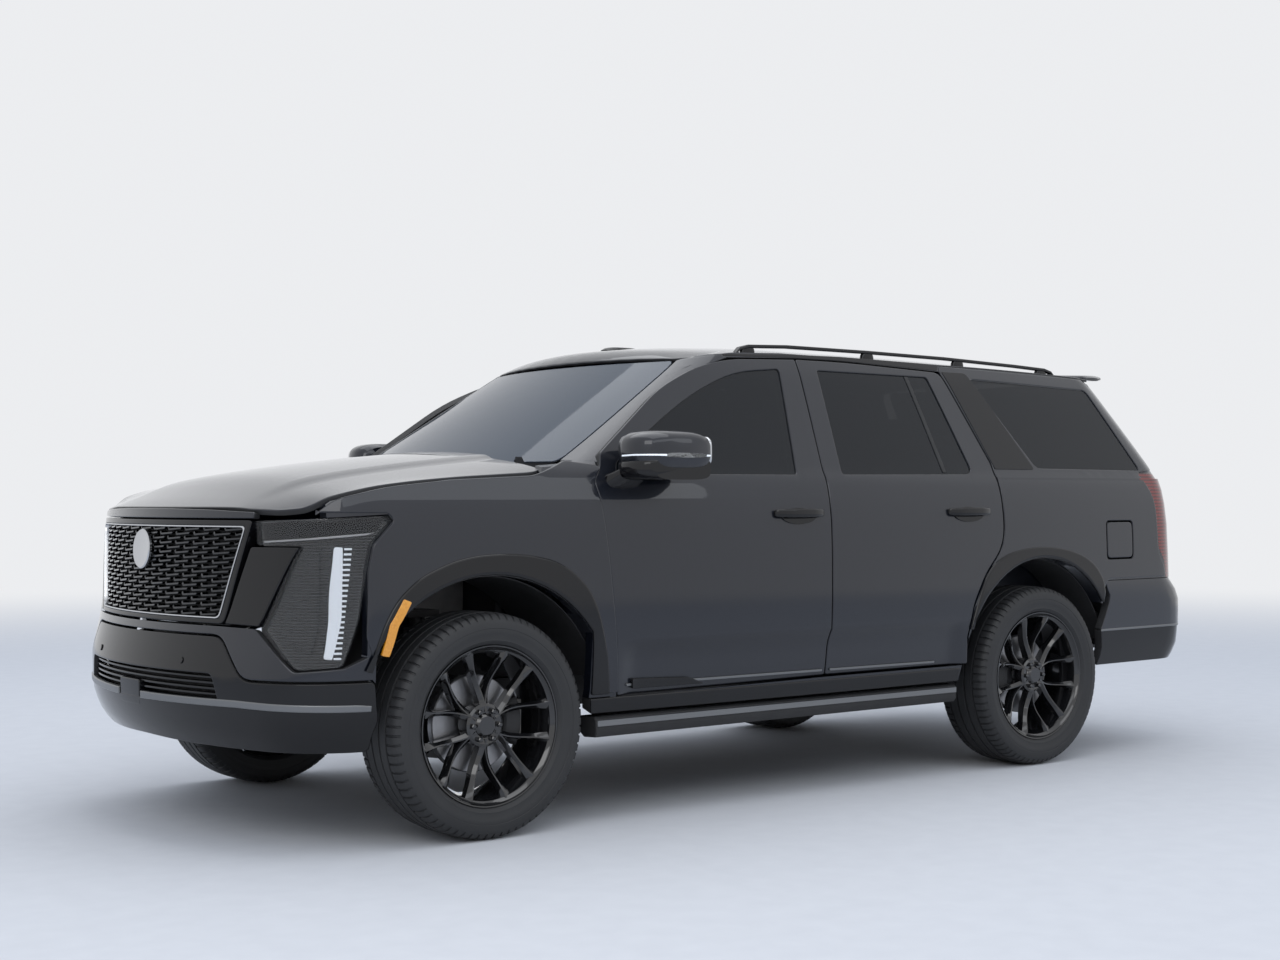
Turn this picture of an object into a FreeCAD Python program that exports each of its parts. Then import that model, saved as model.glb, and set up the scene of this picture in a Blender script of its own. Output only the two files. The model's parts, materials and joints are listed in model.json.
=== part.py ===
import FreeCAD, Part
import math
import os
import Sketcher
from FreeCAD import Placement, Rotation, Vector

# A full-size three-row sport utility vehicle, in millimetres.
# +X is forward, +Y is the left side, +Z is up. The origin is on the ground, under the
# middle of the vehicle's overall length.
doc = FreeCAD.newDocument("suv")
sheet = doc.addObject("Spreadsheet::Sheet", "Sizes")

# name, value
SIZES = (
    ("body_length", 5382),
    ("body_width", 2059),
    ("front_overhang", 975),
    ("wheel_base", 3071),
    ("roof_height", 1938),
    ("belt_height", 1345),
    ("panel_gap", 6),
    ("door_wall", 165),
    ("frame_wall", 40),
    ("glass_wall", 5),
    ("screen_step", 10),
    ("glass_inset", 9),
    ("tyre_radius", 417),
    ("tyre_width", 284),
    ("rim_radius", 297),
    ("rim_wall", 28),
    ("rim_width", 250),
    ("track_width", 1736),
    ("hub_face", 64),
    ("arch_radius", 552),
    ("flare_width", 88),
    ("flare_proud", 12),
    ("disc_radius", 185),
    ("kingpin_offset", 80),
    ("floor_height", 590),
    ("floor_wall", 30),
    ("rail_width", 80),
    ("rail_depth", 130),
    ("rail_place", 440),
    ("seat_width", 520),
    ("cushion_depth", 500),
    ("cushion_wall", 150),
    ("back_rise", 620),
    ("back_wall", 130),
    ("steering_radius", 185),
    ("grip_radius", 15),
    ("engine_length", 620),
    ("engine_width", 560),
    ("engine_depth", 480),
    ("receiver_size", 63.5),
    ("receiver_bore", 51),
    ("receiver_length", 180),
)
for row, (name, value) in enumerate(SIZES, 1):
    sheet.set("A%d" % row, name)
    sheet.set("B%d" % row, str(value))
    sheet.setAlias("B%d" % row, name)
doc.recompute()


def size(name):
    return float(sheet.get(name))


LENGTH = size("body_length")
HALF = size("body_width") / 2
NOSE = LENGTH / 2
TAIL = -LENGTH / 2
FRONT_AXLE = NOSE - size("front_overhang")
REAR_AXLE = FRONT_AXLE - size("wheel_base")
TYRE = size("tyre_radius")
BELT = size("belt_height")
GAP = size("panel_gap")
DOOR = size("door_wall")
FRAME = size("frame_wall")
ARCH = size("arch_radius")
FLOOR = size("floor_height")
TRACK = size("track_width") / 2
WIDE = 1400.0
pieces = []


# Plane shapes pushed out into prisms, and their cuts
def prism(points, way):
    wire = Part.makePolygon(list(points) + [points[0]])
    return Part.Face(wire).extrude(way)


def side_prism(outline, near=0.0, far=WIDE):
    # outline is (x, z) as seen from the left
    return prism([Vector(x, near, z) for x, z in outline], Vector(0, far - near, 0))


def front_prism(outline, back, front):
    # outline is (y, z) as seen from the front
    return prism([Vector(back, y, z) for y, z in outline], Vector(front - back, 0, 0))


def plan_prism(outline, low, high):
    return prism([Vector(x, y, low) for x, y in outline], Vector(0, 0, high - low))


def block(x0, x1, y0, y1, z0, z1):
    return Part.makeBox(x1 - x0, y1 - y0, z1 - z0, Vector(x0, y0, z0))


def rod(start, end, radius):
    way = Vector(*end) - Vector(*start)
    return Part.makeCylinder(radius, way.Length, Vector(*start), way)


def mirrored(shape):
    return shape.mirror(Vector(0, 0, 0), Vector(0, 1, 0))


def both(shape):
    return Part.makeCompound(shape.Solids + mirrored(shape).Solids)


def solids_over(shape, volume=1000.0):
    # The slivers that a cut along a curved edge leaves are dropped
    return Part.makeCompound([s for s in shape.Solids if s.Volume > volume])


def add_piece(name, shape):
    feature = doc.addObject("Part::Feature", name)
    feature.Shape = shape.Solids[0] if len(shape.Solids) == 1 else Part.makeCompound(shape.Solids)
    feature.Label = name
    pieces.append(feature)
    return feature


# The body's form: a plan outline of tangent arcs at each height, lofted straight between heights
def circles_meet(first, first_radius, second, second_radius):
    gap = second - first
    along = (first_radius ** 2 - second_radius ** 2 + gap.Length ** 2) / (2 * gap.Length)
    across = math.sqrt(max(first_radius ** 2 - along ** 2, 0))
    unit = gap / gap.Length
    return first + unit * along + Vector(-unit.y, unit.x, 0) * across


NOSE_RADIUS = 1900.0
SIDE_RADIUS = 60000.0
TAIL_RADIUS = 3000.0
SIDE_MIDDLE = -100.0


def plan_outline(height, half, nose, tail, front_corner, rear_corner):
    nose_centre = Vector(nose - NOSE_RADIUS, 0, 0)
    side_centre = Vector(SIDE_MIDDLE, half - SIDE_RADIUS, 0)
    tail_centre = Vector(tail + TAIL_RADIUS, 0, 0)
    front = circles_meet(
        nose_centre, NOSE_RADIUS - front_corner, side_centre, SIDE_RADIUS - front_corner)
    rear = circles_meet(
        side_centre, SIDE_RADIUS - rear_corner, tail_centre, TAIL_RADIUS - rear_corner)
    if front.y < 0 or rear.y < 0:
        raise ValueError("corner centre on the wrong side")

    def reach(centre, through, radius):
        return centre + (through - centre).normalize() * radius

    def middle(centre, radius, start, end):
        return centre + ((start + end) * 0.5 - centre).normalize() * radius

    stops = [
        Vector(nose, 0, 0),
        reach(nose_centre, front, NOSE_RADIUS),
        reach(side_centre, front, SIDE_RADIUS),
        reach(side_centre, rear, SIDE_RADIUS),
        reach(tail_centre, rear, TAIL_RADIUS),
        Vector(tail, 0, 0),
    ]
    arcs = (
        (nose_centre, NOSE_RADIUS),
        (front, front_corner),
        (side_centre, SIDE_RADIUS),
        (rear, rear_corner),
        (tail_centre, TAIL_RADIUS),
    )
    left = []
    right = []
    for (centre, radius), start, end in zip(arcs, stops, stops[1:]):
        mid = middle(centre, radius, start, end)
        lift = Vector(0, 0, height)
        left.append(Part.Arc(start + lift, mid + lift, end + lift).toShape())
        flip = [Vector(p.x, -p.y, height) for p in (end, mid, start)]
        right.insert(0, Part.Arc(*flip).toShape())
    return Part.Wire(left + right)


# height, side in from the widest, nose back, tail in, front and rear corner radius
LOWER_LEVELS = (
    (300, 100, 131, 131, 330, 200),
    (420, 45, 31, 60, 340, 200),
    (520, 20, 2, 4, 345, 200),
    (620, 10, 0, 0, 350, 200),
    (758, 2, 27, 8, 350, 200),
    (845, 0, 42, 92, 350, 200),
    (980, 0, 46, 98, 350, 200),
    (1120, 5, 53, 102, 345, 200),
    (1220, 17, 65, 110, 335, 195),
    (1290, 31, 91, 120, 320, 190),
    (1345, 49, 131, 135, 300, 180),
    (1390, 86, 175, 180, 260, 160),
    (1430, 150, 230, 220, 220, 140),
    (1470, 270, 300, 260, 200, 130),
)
UPPER_LEVELS = (
    (1335, 63, 1155, 127, 150, 180),
    (1430, 91, 1315, 201, 150, 180),
    (1700, 197, 1767, 413, 150, 180),
    (1800, 239, 1936, 491, 150, 180),
    (1945, 320, 2180, 600, 150, 180),
)


made_forms = {}


def form(levels, inset=0.0):
    key = (levels, inset)
    if key in made_forms:
        return made_forms[key]
    wires = []
    for height, side_in, nose_back, tail_in, front_corner, rear_corner in levels:
        wires.append(plan_outline(
            height, HALF - side_in - inset, NOSE - nose_back - inset, TAIL + tail_in + inset,
            front_corner - inset, rear_corner - inset))
    made_forms[key] = Part.makeLoft(wires, True, True)
    return made_forms[key]


# Crowned lids: a side-view line turned about a long axis far below
def crown(line, radius, below=0.0):
    top = max(z for _, z in line)
    axis = Vector(0, 0, top - radius)
    points = [Vector(x, 0, z - below) for x, z in line]
    points += [Vector(line[-1][0], 0, 200), Vector(line[0][0], 0, 200)]
    face = Part.Face(Part.makePolygon(points + [points[0]]))
    face.rotate(axis, Vector(1, 0, 0), -32)
    return face.revolve(axis, Vector(1, 0, 0), 64)


ROOF = size("roof_height")
ROOF_LINE = (
    (1900, ROOF - 420), (1100, ROOF - 160), (985, ROOF - 110), (700, ROOF - 52),
    (330, ROOF - 12), (-50, ROOF), (-700, ROOF - 2), (-1400, ROOF - 18), (-2250, ROOF - 52),
    (-2800, ROOF - 120),
)
HOOD_LINE = (
    (2800, 1060), (2660, 1168), (2568, 1214), (2450, 1268), (2250, 1332), (1900, 1385),
    (1500, 1430), (1100, 1460),
)
ROOF_CROWN = 5000.0
HOOD_CROWN = 7000.0

lower = form(LOWER_LEVELS)
upper = form(UPPER_LEVELS)
roof_lid = crown(ROOF_LINE, ROOF_CROWN)
hood_lid = crown(HOOD_LINE, HOOD_CROWN)
low_half = block(TAIL - 50, NOSE + 50, -WIDE, WIDE, 250, BELT)
front_form = lower.common(hood_lid)
cabin_form = lower.common(low_half).fuse(upper.common(roof_lid))

# The space inside the cabin
CABIN_SECTION = (
    (-HALF + DOOR, FLOOR), (-HALF + DOOR, 1290), (-HALF + DOOR + 15, BELT), (-700, 1850),
    (-560, ROOF - 68), (560, ROOF - 68), (700, 1850), (HALF - DOOR - 15, BELT),
    (HALF - DOOR, 1290), (HALF - DOOR, FLOOR),
)
CABIN_SIDE = (
    (1330, FLOOR), (1330, 1330), (1385, 1385), (690, 1800), (560, 1880), (-2030, 1880),
    (-2360, 1440), (-2480, 1200), (-2480, 820), (-1060, 820), (-960, FLOOR),
)
WHEELHOUSE = size("arch_radius") + 34
HOUSE_IN = 660.0
house = Part.makeCylinder(
    WHEELHOUSE, WIDE, Vector(REAR_AXLE, HOUSE_IN, TYRE), Vector(0, 1, 0))
cabin = front_prism(CABIN_SECTION, TAIL, NOSE).common(side_prism(CABIN_SIDE, -WIDE, WIDE))
cabin = cabin.cut(house).cut(mirrored(house))


def wheel_space(axle, radius, inner):
    return Part.makeCylinder(radius, WIDE, Vector(axle, inner, TYRE), Vector(0, 1, 0))


front_space = wheel_space(FRONT_AXLE, ARCH, 480)
rear_space = wheel_space(REAR_AXLE, ARCH, HOUSE_IN + 30)


def grown(outline, out):
    # The outline with each side moved out by a distance
    wire = Part.makePolygon([Vector(x, z, 0) for x, z in outline + (outline[0],)])
    wider = wire.makeOffset2D(out, 2)
    return tuple((v.X, v.Y) for v in wider.OrderedVertexes)


# Door outlines from the side: below the belt the whole leaf, above it the window frame
FRONT_DOOR = (
    (1137, 487), (1155, 705), (1219, 1250), (1238, 1322), (1188, 1368), (1171, 1431), (983, 1568),
    (801, 1702), (572, 1801), (377, 1843), (-12, 1857), (14, 1340), (22, 1056), (22, 695),
    (27, 500),
)
REAR_DOOR = (
    (27, 500), (22, 695), (22, 1056), (14, 1340), (-12, 1857), (-300, 1857), (-913, 1835),
    (-1078, 1408), (-1084, 1271), (-1077, 1034), (-943, 900), (-868, 760), (-835, 624),
    (-845, 500),
)
FRONT_PANE = (
    (172, 1354), (108, 1802), (433, 1776), (665, 1672), (948, 1532), (1120, 1400), (1120, 1352),
)
REAR_PANE = ((-98, 1356), (-121, 1807), (-815, 1804), (-927, 1383), (-900, 1362))
QUARTER_PANE = ((-1107, 1806), (-1970, 1783), (-2206, 1388), (-1394, 1392))
FUEL_LID = ((-1840, 953), (-1840, 1136), (-2050, 1136), (-2050, 953))
FUEL_PIVOT = (-1848.0, HALF - 32.0)
PIN_RADIUS = 2.5
PIN_ROOM = 0.3


# Doors: the leaf, with the window cut, its frame thinner than the leaf. Behind its skin the
# leaf's rear edge stands back, so that it swings clear of what is behind it.
HEM = 10.0
RELIEF = 18.0
inner_form = form(LOWER_LEVELS, HEM).common(low_half).fuse(form(UPPER_LEVELS, HEM))


def rear_relief(edge):
    (first_x, first_z), (last_x, last_z) = edge[0], edge[-1]
    line = ((first_x, first_z + RELIEF),) + edge[1:-1] + ((last_x, last_z - RELIEF),)
    band = [(x - RELIEF, z) for x, z in line] + [(x + RELIEF, z) for x, z in reversed(line)]
    return side_prism(band, 500).common(inner_form)


def door(outline, pane, rear_edge):
    leaf = side_prism(grown(outline, -GAP / 2), 500)
    body = cabin_form.common(leaf).cut(cabin)
    body = body.cut(block(TAIL, NOSE, 0, HALF - DOOR, 400, 1290))
    slim = form(UPPER_LEVELS, FRAME).common(
        block(TAIL, NOSE, 500, WIDE, BELT + 30, 2000))
    body = body.cut(slim).cut(rear_relief(rear_edge))
    return solids_over(body.cut(side_prism(pane, 500)))


def pane_solid(outline, extra=0.0):
    outer = form(UPPER_LEVELS, size("glass_inset") + extra)
    inner = form(UPPER_LEVELS, size("glass_inset") + extra + size("glass_wall"))
    return outer.cut(inner).common(side_prism(outline, 500))


def handle(front, rear, height):
    # A pull bar proud of the leaf, on two feet
    y = HALF - 8
    bar = block(rear, front, y + 22, y + 40, height - 16, height + 16)
    feet = [block(x - 22, x + 22, y - 20, y + 24, height - 14, height + 14)
            for x in (rear + 40, front - 40)]
    return bar.fuse(feet)


# Strikers: a short bar on each pillar that a door's latch closes on
STRIKER = 10.0
CATCH = 0.3
CATCH_HEIGHT = 1000.0


def striker_bar(x0, x1, y0, y1, room=0.0):
    reach = STRIKER / 2 + room
    return block(x0 - room, x1 + room, y0 - room, y1 + room, CATCH_HEIGHT - reach,
                 CATCH_HEIGHT + reach)


def latch_slot(x0, x1, far):
    # The slot that slides over the striker, open to the inside
    reach = STRIKER / 2 + CATCH
    return block(x0, x1, 500, far + CATCH, CATCH_HEIGHT - reach, CATCH_HEIGHT + reach)


FRONT_CATCH = (55, 65, HALF - DOOR - 40, HALF - DOOR + 22)
REAR_CATCH = (-1096, -1000, 928, 938)
SWING_BACK = 12.0
front_leaf = door(FRONT_DOOR, FRONT_PANE, FRONT_DOOR[10:]).fuse(handle(360, 81, 1180))
front_leaf = front_leaf.cut(latch_slot(
    FRONT_CATCH[0] - CATCH, FRONT_CATCH[1] + SWING_BACK, FRONT_CATCH[3]))
rear_leaf = door(REAR_DOOR, REAR_PANE, REAR_DOOR[6:]).fuse(handle(-682, -960, 1180))
rear_leaf = rear_leaf.cut(latch_slot(-1100, REAR_CATCH[1] + SWING_BACK, REAR_CATCH[3]))
front_pane = pane_solid(grown(FRONT_PANE, -0.3))
rear_pane = pane_solid(grown(REAR_PANE, -0.3))
for side, turn in (("left", lambda s: s), ("right", mirrored)):
    add_piece("front_door_" + side, turn(front_leaf))
    add_piece("rear_door_" + side, turn(rear_leaf))
    add_piece("front_door_glass_" + side, turn(front_pane))
    add_piece("rear_door_glass_" + side, turn(rear_pane))

# Door mirrors: a rounded shell on an arm from the door's front corner
shell = side_prism(((790, 1385), (812, 1500), (900, 1514), (1080, 1500), (1165, 1450),
                    (1173, 1390), (1120, 1350), (850, 1347)), 1000, 1190)
arm = side_prism(((1130, 1257), (1020, 1257), (960, 1352), (1110, 1352)), 940, 1060)
mirror_outer = shell.fuse(arm).cut(front_leaf)
mirror_outer = solids_over(mirror_outer)
add_piece("mirror_left", mirror_outer)
add_piece("mirror_right", mirrored(mirror_outer))

# Front fenders: the side skin from the door's edge to the lamp and the bumper
FENDER_WALL = 42.0
FENDER = (
    (1120, 490), (1120, 1366), (1188, 1374), (1348, 1415), (1437, 1399), (1472, 1341),
    (1870, 1322), (2143, 1294), (2321, 1255), (2350, 1232), (2350, 1186), (2138, 1197),
    (2121, 1174), (2205, 1090), (2225, 1000), (2225, 640), (2150, 560), (1300, 490),
)
front_inner = form(LOWER_LEVELS, FENDER_WALL)
front_opening = side_prism(
    ((1268, 200), (1268, 1100), (2190, 1100), (2190, 200)), 480).common(front_space)
fender_skin = front_form.cut(front_inner).common(side_prism(FENDER, 500))
front_doorway = side_prism(grown(FRONT_DOOR, GAP / 2), 300)
fender = solids_over(fender_skin.cut(front_opening).cut(front_doorway), 50000)
add_piece("front_fenders", both(fender))

# Body sides: pillars, sill and rear quarter, less everything that opens
SIDE_REGION = (
    (1330, 430), (1330, 1340), (1215, 1425), (985, 1592), (700, 1764), (520, 1846), (330, 1880),
    (-1906, 1864), (-2058, 1836), (-2058, 1806), (-2290, 1480), (-2340, 1380), (-2350, 430),
)
# The roof's edge and the windscreen's edge, as seen from the front
SIDE_FRONT = (
    (500, 400), (500, BELT), (795, BELT), (640, 1860), (640, 2000), (WIDE, 2000), (WIDE, 400),
)
side_zone = side_prism(SIDE_REGION, 500).common(front_prism(SIDE_FRONT, TAIL, NOSE))
REAR_LAMP = (
    (-2160, 1372), (-2700, 1372), (-2700, 850), (-2335, 850), (-2318, 934), (-2270, 1000),
    (-2255, 1200),
)
REAR_CORNER = ((-1790, 430), (-1790, 700), (-1815, 800), (-1850, 850), (-2700, 850), (-2700, 430))
doorway = grown(FRONT_DOOR, GAP / 2)
rear_doorway = grown(REAR_DOOR, GAP / 2)
sides = cabin_form.common(side_zone).cut(cabin)
leafs = side_prism(doorway, HALF - DOOR - 250).fuse(side_prism(rear_doorway, HALF - DOOR - 250))
leafs = leafs.cut(block(-1200, 1400, 0, HALF - DOOR - GAP, 400, FLOOR))
leafs = leafs.cut(block(-1200, -700, 0, HALF - DOOR - GAP, FLOOR, 1290))
SILL_IN = 830.0
under_floor = side_prism(
    ((1400, 400), (1400, FLOOR), (-960, FLOOR), (-1060, 820), (-2500, 820), (-2500, 400)),
    300, SILL_IN)
sides = sides.cut(leafs).cut(under_floor.cut(house))
sides = sides.cut(fender_skin).cut(front_space).cut(rear_space).cut(side_prism(grown(REAR_LAMP, 0.3), 500))
sides = sides.cut(side_prism(grown(REAR_CORNER, 0.3), 500))
sides = sides.cut(side_prism(QUARTER_PANE, 500))
FUEL_WALL = 14.0
fuel_cup = side_prism(grown(FUEL_LID, GAP / 2), HALF - 120).fuse(
    block(-1840, -1832, HALF - 60, WIDE, 950, 1139))
fuel_pins = [rod((FUEL_PIVOT[0], FUEL_PIVOT[1], low), (FUEL_PIVOT[0], FUEL_PIVOT[1], high), PIN_RADIUS)
             for low, high in ((945, 966), (1123, 1144))]
shaft_notch = block(REAR_AXLE - 150, REAR_AXLE + 150, HOUSE_IN - 20, HOUSE_IN + 40, 400, 600)
sides = solids_over(sides.cut(fuel_cup).cut(shaft_notch), 50000)
# The post between the doors stands inboard of them
post_section = form(UPPER_LEVELS, FRAME + 34).cut(form(UPPER_LEVELS, FRAME + 100))
post = post_section.common(block(-70, 70, 500, WIDE, BELT + 36, 1840))
post = post.fuse(block(-70, 70, HALF - DOOR - 70, HALF - DOOR - 32, FLOOR, BELT + 60))
rear_striker = striker_bar(*REAR_CATCH)
add_piece("body_side_left", sides.fuse([rear_striker] + fuel_pins))
add_piece("body_side_right", mirrored(sides.fuse(rear_striker)))
add_piece("door_posts", both(post.fuse(striker_bar(*FRONT_CATCH))))

lid_shape = cabin_form.cut(form(LOWER_LEVELS, FUEL_WALL)).common(
    side_prism(grown(FUEL_LID, -GAP / 2), 500))
lid_shape = lid_shape.cut([rod((FUEL_PIVOT[0], FUEL_PIVOT[1], low), (FUEL_PIVOT[0], FUEL_PIVOT[1], high),
                               PIN_RADIUS + PIN_ROOM) for low, high in ((940, 967), (1122, 1150))])
add_piece("fuel_door", solids_over(lid_shape, 500))
add_piece("quarter_glass", both(pane_solid(grown(QUARTER_PANE, -0.3))))

# Roof, windscreen and the tailgate behind it
ROOF_PLAN = ((930, -WIDE), (930, WIDE), (-2058, WIDE), (-2058, -WIDE))
roof = upper.common(roof_lid).cut(cabin).common(plan_prism(ROOF_PLAN, 1700, 2000))
roof = roof.cut(side_zone).cut(mirrored(side_zone))
HEADER_PLACE = 700.0
header = Part.makeCylinder(NOSE_RADIUS, 500, Vector(HEADER_PLACE - NOSE_RADIUS, 0, 1500))
roof = roof.common(header)
screen_zone = block(200, 1700, -WIDE, WIDE, 1392, 1900).cut(header)
screen = form(UPPER_LEVELS, size("glass_inset")).cut(
    form(UPPER_LEVELS, size("glass_inset") + size("screen_step"))).common(screen_zone)
screen = screen.common(roof_lid).cut(side_zone).cut(mirrored(side_zone))
screen = solids_over(screen, 100000)
add_piece("roof_panel", solids_over(roof, 50000))
add_piece("windscreen", screen)


# Hood: the crowned top skin from the cowl to the lip over the grille
HOOD_WALL = 28.0
HOOD_FRONT = 2568.0
HOOD_FRONT_RADIUS = 3040.0
HOOD_SIDE = (
    (1447, 1500), (1447, 1404), (1480, 1349), (1870, 1329), (2143, 1301), (2325, 1262),
    (2405, 1198), (2498, 1194), (2700, 1194), (2700, 1500),
)
hood_edge = Part.makeCylinder(
    HOOD_FRONT_RADIUS, 600, Vector(HOOD_FRONT - HOOD_FRONT_RADIUS, 0, 1000))
hood_zone = side_prism(HOOD_SIDE, -WIDE, WIDE)
hood_core = form(LOWER_LEVELS, HOOD_WALL).common(crown(HOOD_LINE, HOOD_CROWN, HOOD_WALL))
hood = front_form.common(hood_zone).common(hood_edge).cut(hood_core)
HOOD_PIVOT = (1400.0, 1400.0)
HINGE_PIN = 7.0
HINGE_ROOM = 0.3
HINGE_PLACE = 690.0
hinge_arm = side_prism(((1390, 1386), (1450, 1372), (1560, 1368), (1600, 1400), (1470, 1400),
                        (1395, 1414)), HINGE_PLACE, HINGE_PLACE + 8)
hinge_arm = hinge_arm.fuse(rod((HOOD_PIVOT[0], HINGE_PLACE, HOOD_PIVOT[1]),
                               (HOOD_PIVOT[0], HINGE_PLACE + 8, HOOD_PIVOT[1]), 16))
hinge_arm = hinge_arm.cut(rod((HOOD_PIVOT[0], HINGE_PLACE - 1, HOOD_PIVOT[1]),
                              (HOOD_PIVOT[0], HINGE_PLACE + 9, HOOD_PIVOT[1]), HINGE_PIN + HINGE_ROOM))
hinge_arm = hinge_arm.common(front_form)
hood = solids_over(hood, 50000)
hood_arms = [hinge_arm, mirrored(hinge_arm)]
add_piece("hood", hood.fuse(hood_arms))

# Grille: a trapezoid frame round a recessed back, crossed by staggered rows of hooked ribs
GRILLE = ((-668, 1176), (668, 1176), (547, 802), (-547, 802))
GRILLE_WALL = 46.0
RIB_FROM = 64.0
BACK_FROM = 78.0
BACK_WALL = 14.0
# One rib as (y, z): a slanting bar whose outer end turns up in a short hook
RIB = ((-2, 0), (74, 11), (74, 17), (6, 8), (-9, 20), (-13, 16))
RIB_PITCH = 114.0
ROW_PITCH = 34.0
ROW_COUNT = 9
BADGE_PLACE = 1065.0
BADGE_RADIUS = 75.0
grille_zone = front_prism(GRILLE, 2300, 2800)


def nose_drum(depth):
    # An upright drum behind the nose, for what stands recessed in the grille
    return Part.makeCylinder(NOSE_RADIUS - depth, 500, Vector(NOSE - NOSE_RADIUS, 0, 750))


grille_window = front_prism(
    ((-634, 1150), (634, 1150), (525, 828), (-525, 828)), 2300, 2800)
grille = front_form.common(grille_zone).cut(form(LOWER_LEVELS, GRILLE_WALL)).cut(grille_window)
back = nose_drum(BACK_FROM).common(grille_zone).cut(nose_drum(BACK_FROM + BACK_WALL))
badge = Part.makeCylinder(BADGE_RADIUS, 60, Vector(2575, 0, BADGE_PLACE), Vector(1, 0, 0))
ribs = []
for row in range(ROW_COUNT):
    bottom = 836 + row * ROW_PITCH
    half_width = 525 + (bottom - 828) * (634 - 525) / (1150 - 828)
    shift = RIB_PITCH / 2 * (row % 2)
    count = int(2 * half_width / RIB_PITCH) + 1
    for column in range(-count, count):
        start = column * RIB_PITCH + shift
        if start - 13 < -half_width + 4 or start + 74 > half_width - 4:
            continue
        if abs(start + 30) < BADGE_RADIUS + 50 and abs(bottom + 10 - BADGE_PLACE) < BADGE_RADIUS + 12:
            continue
        ribs.append(front_prism([(start + y, bottom + z) for y, z in RIB], 2300, 2800))
relief = Part.makeCompound(ribs).common(nose_drum(RIB_FROM)).cut(nose_drum(BACK_FROM + 2))
grille = back.fuse(relief.Solids).fuse([grille, badge.common(front_form)])
add_piece("grille", grille)

# Headlamps: a level strip from the grille's corner and an upright lamp below it
HEADLAMP = (
    (2508, 1178), (2138, 1197), (2121, 1174), (2205, 1090), (2309, 662), (2456, 652),
    (2512, 798), (2440, 1040), (2420, 1088), (2508, 1088),
)
LAMP_WALL = 80.0
lamp_zone = side_prism(HEADLAMP, 500)
lamp = front_form.common(lamp_zone).cut(form(LOWER_LEVELS, LAMP_WALL))
lamp = solids_over(lamp.cut(grille_zone).cut(fender), 5000)
add_piece("headlamps", both(lamp))

# Front bumper cover, with its lower grille and the strip under the hood's edge
FRONT_COVER = (
    (2190, 400), (2190, 640), (2226, 640), (2226, 1000), (2206, 1090), (2122, 1174), (2139, 1197),
    (2351, 1186), (2351, 1232), (2340, 1260), (2800, 1260), (2800, 330), (2300, 330),
)
INTAKE = ((-540, 628), (540, 628), (575, 520), (-575, 520))
cover_zone = side_prism(FRONT_COVER, -WIDE, WIDE)
hood_room = side_prism(
    ((1400, 1500), (1400, 1300), (2143, 1288), (2322, 1249), (2400, 1187), (2800, 1187),
     (2800, 1500)), -WIDE, WIDE).common(Part.makeCylinder(
        HOOD_FRONT_RADIUS + 10, 600, Vector(HOOD_FRONT - HOOD_FRONT_RADIUS, 0, 1000)))
cover = front_form.common(cover_zone).cut(front_inner).cut(hood_room).cut(grille_zone)
cover = cover.cut(lamp_zone).cut(mirrored(lamp_zone)).cut(fender).cut(mirrored(fender))
intake_slots = []
INTAKE_BARS = 5
INTAKE_BAR = 9.0
intake_low = INTAKE[2][1]
intake_pitch = (INTAKE[0][1] - intake_low + INTAKE_BAR) / INTAKE_BARS
for row in range(INTAKE_BARS):
    bottom = intake_low + row * intake_pitch
    top = bottom + intake_pitch - INTAKE_BAR
    for side in (-1, 1):
        intake_slots.append(block(2300, 2800, min(side * 95, side * 550), max(side * 95, side * 550),
                                  bottom, top))
cover = solids_over(cover.cut(Part.makeCompound(intake_slots)), 50000)
add_piece("front_bumper", cover)

# Tailgate and its glass
GATE_SIDE = (
    (-2064, 2000), (-2064, 1806), (-2296, 1480), (-2346, 1380), (-2356, 1376),
    (-2356, 850), (-2494, 850), (-2494, 765), (-2800, 765), (-2800, 2000),
)
GATE_REAR = (
    (-1200, 2000), (1200, 2000), (1200, 1378), (800, 1378), (790, 765), (-790, 765), (-800, 1378),
    (-1200, 1378),
)
GATE_PANE = ((-690, 1400), (690, 1400), (600, 1760), (-600, 1760))
gate_zone = side_prism(GATE_SIDE, -WIDE, WIDE).common(front_prism(GATE_REAR, -3000, -1900))
gate = cabin_form.common(gate_zone).cut(cabin)
gate = gate.cut(front_prism(GATE_PANE, -3000, -1900))
spoiler = side_prism(
    ((-2064, 1860), (-2064, 1898), (-2250, 1868), (-2262, 1852), (-2180, 1840)), -660, 660)
gate_latch = block(-2535.3, -2480, -6.3, 6.3, 764, 790.3)
add_piece("liftgate", solids_over(gate.fuse(spoiler).cut(gate_latch), 50000))
gate_pane = form(UPPER_LEVELS, size("glass_inset")).cut(
    form(UPPER_LEVELS, size("glass_inset") + size("glass_wall")))
gate_pane = gate_pane.common(front_prism(GATE_PANE, -3000, -1900))
add_piece("liftgate_glass", solids_over(gate_pane, 5000))

# Tail lamps and the rear bumper cover
rear_lamp_zone = side_prism(REAR_LAMP, 806)
tail_lamp = cabin_form.common(rear_lamp_zone).cut(form(LOWER_LEVELS, LAMP_WALL))
add_piece("tail_lamps", both(solids_over(tail_lamp, 5000)))
rear_cover_zone = side_prism(REAR_CORNER, -WIDE, WIDE).cut(
    block(-3000, -1700, -806, 806, 759, 900))
rear_cover = lower.common(rear_cover_zone).cut(front_inner)
rear_cover = rear_cover.cut(rear_space).cut(mirrored(rear_space))
add_piece("rear_bumper", solids_over(rear_cover, 50000))

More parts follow.
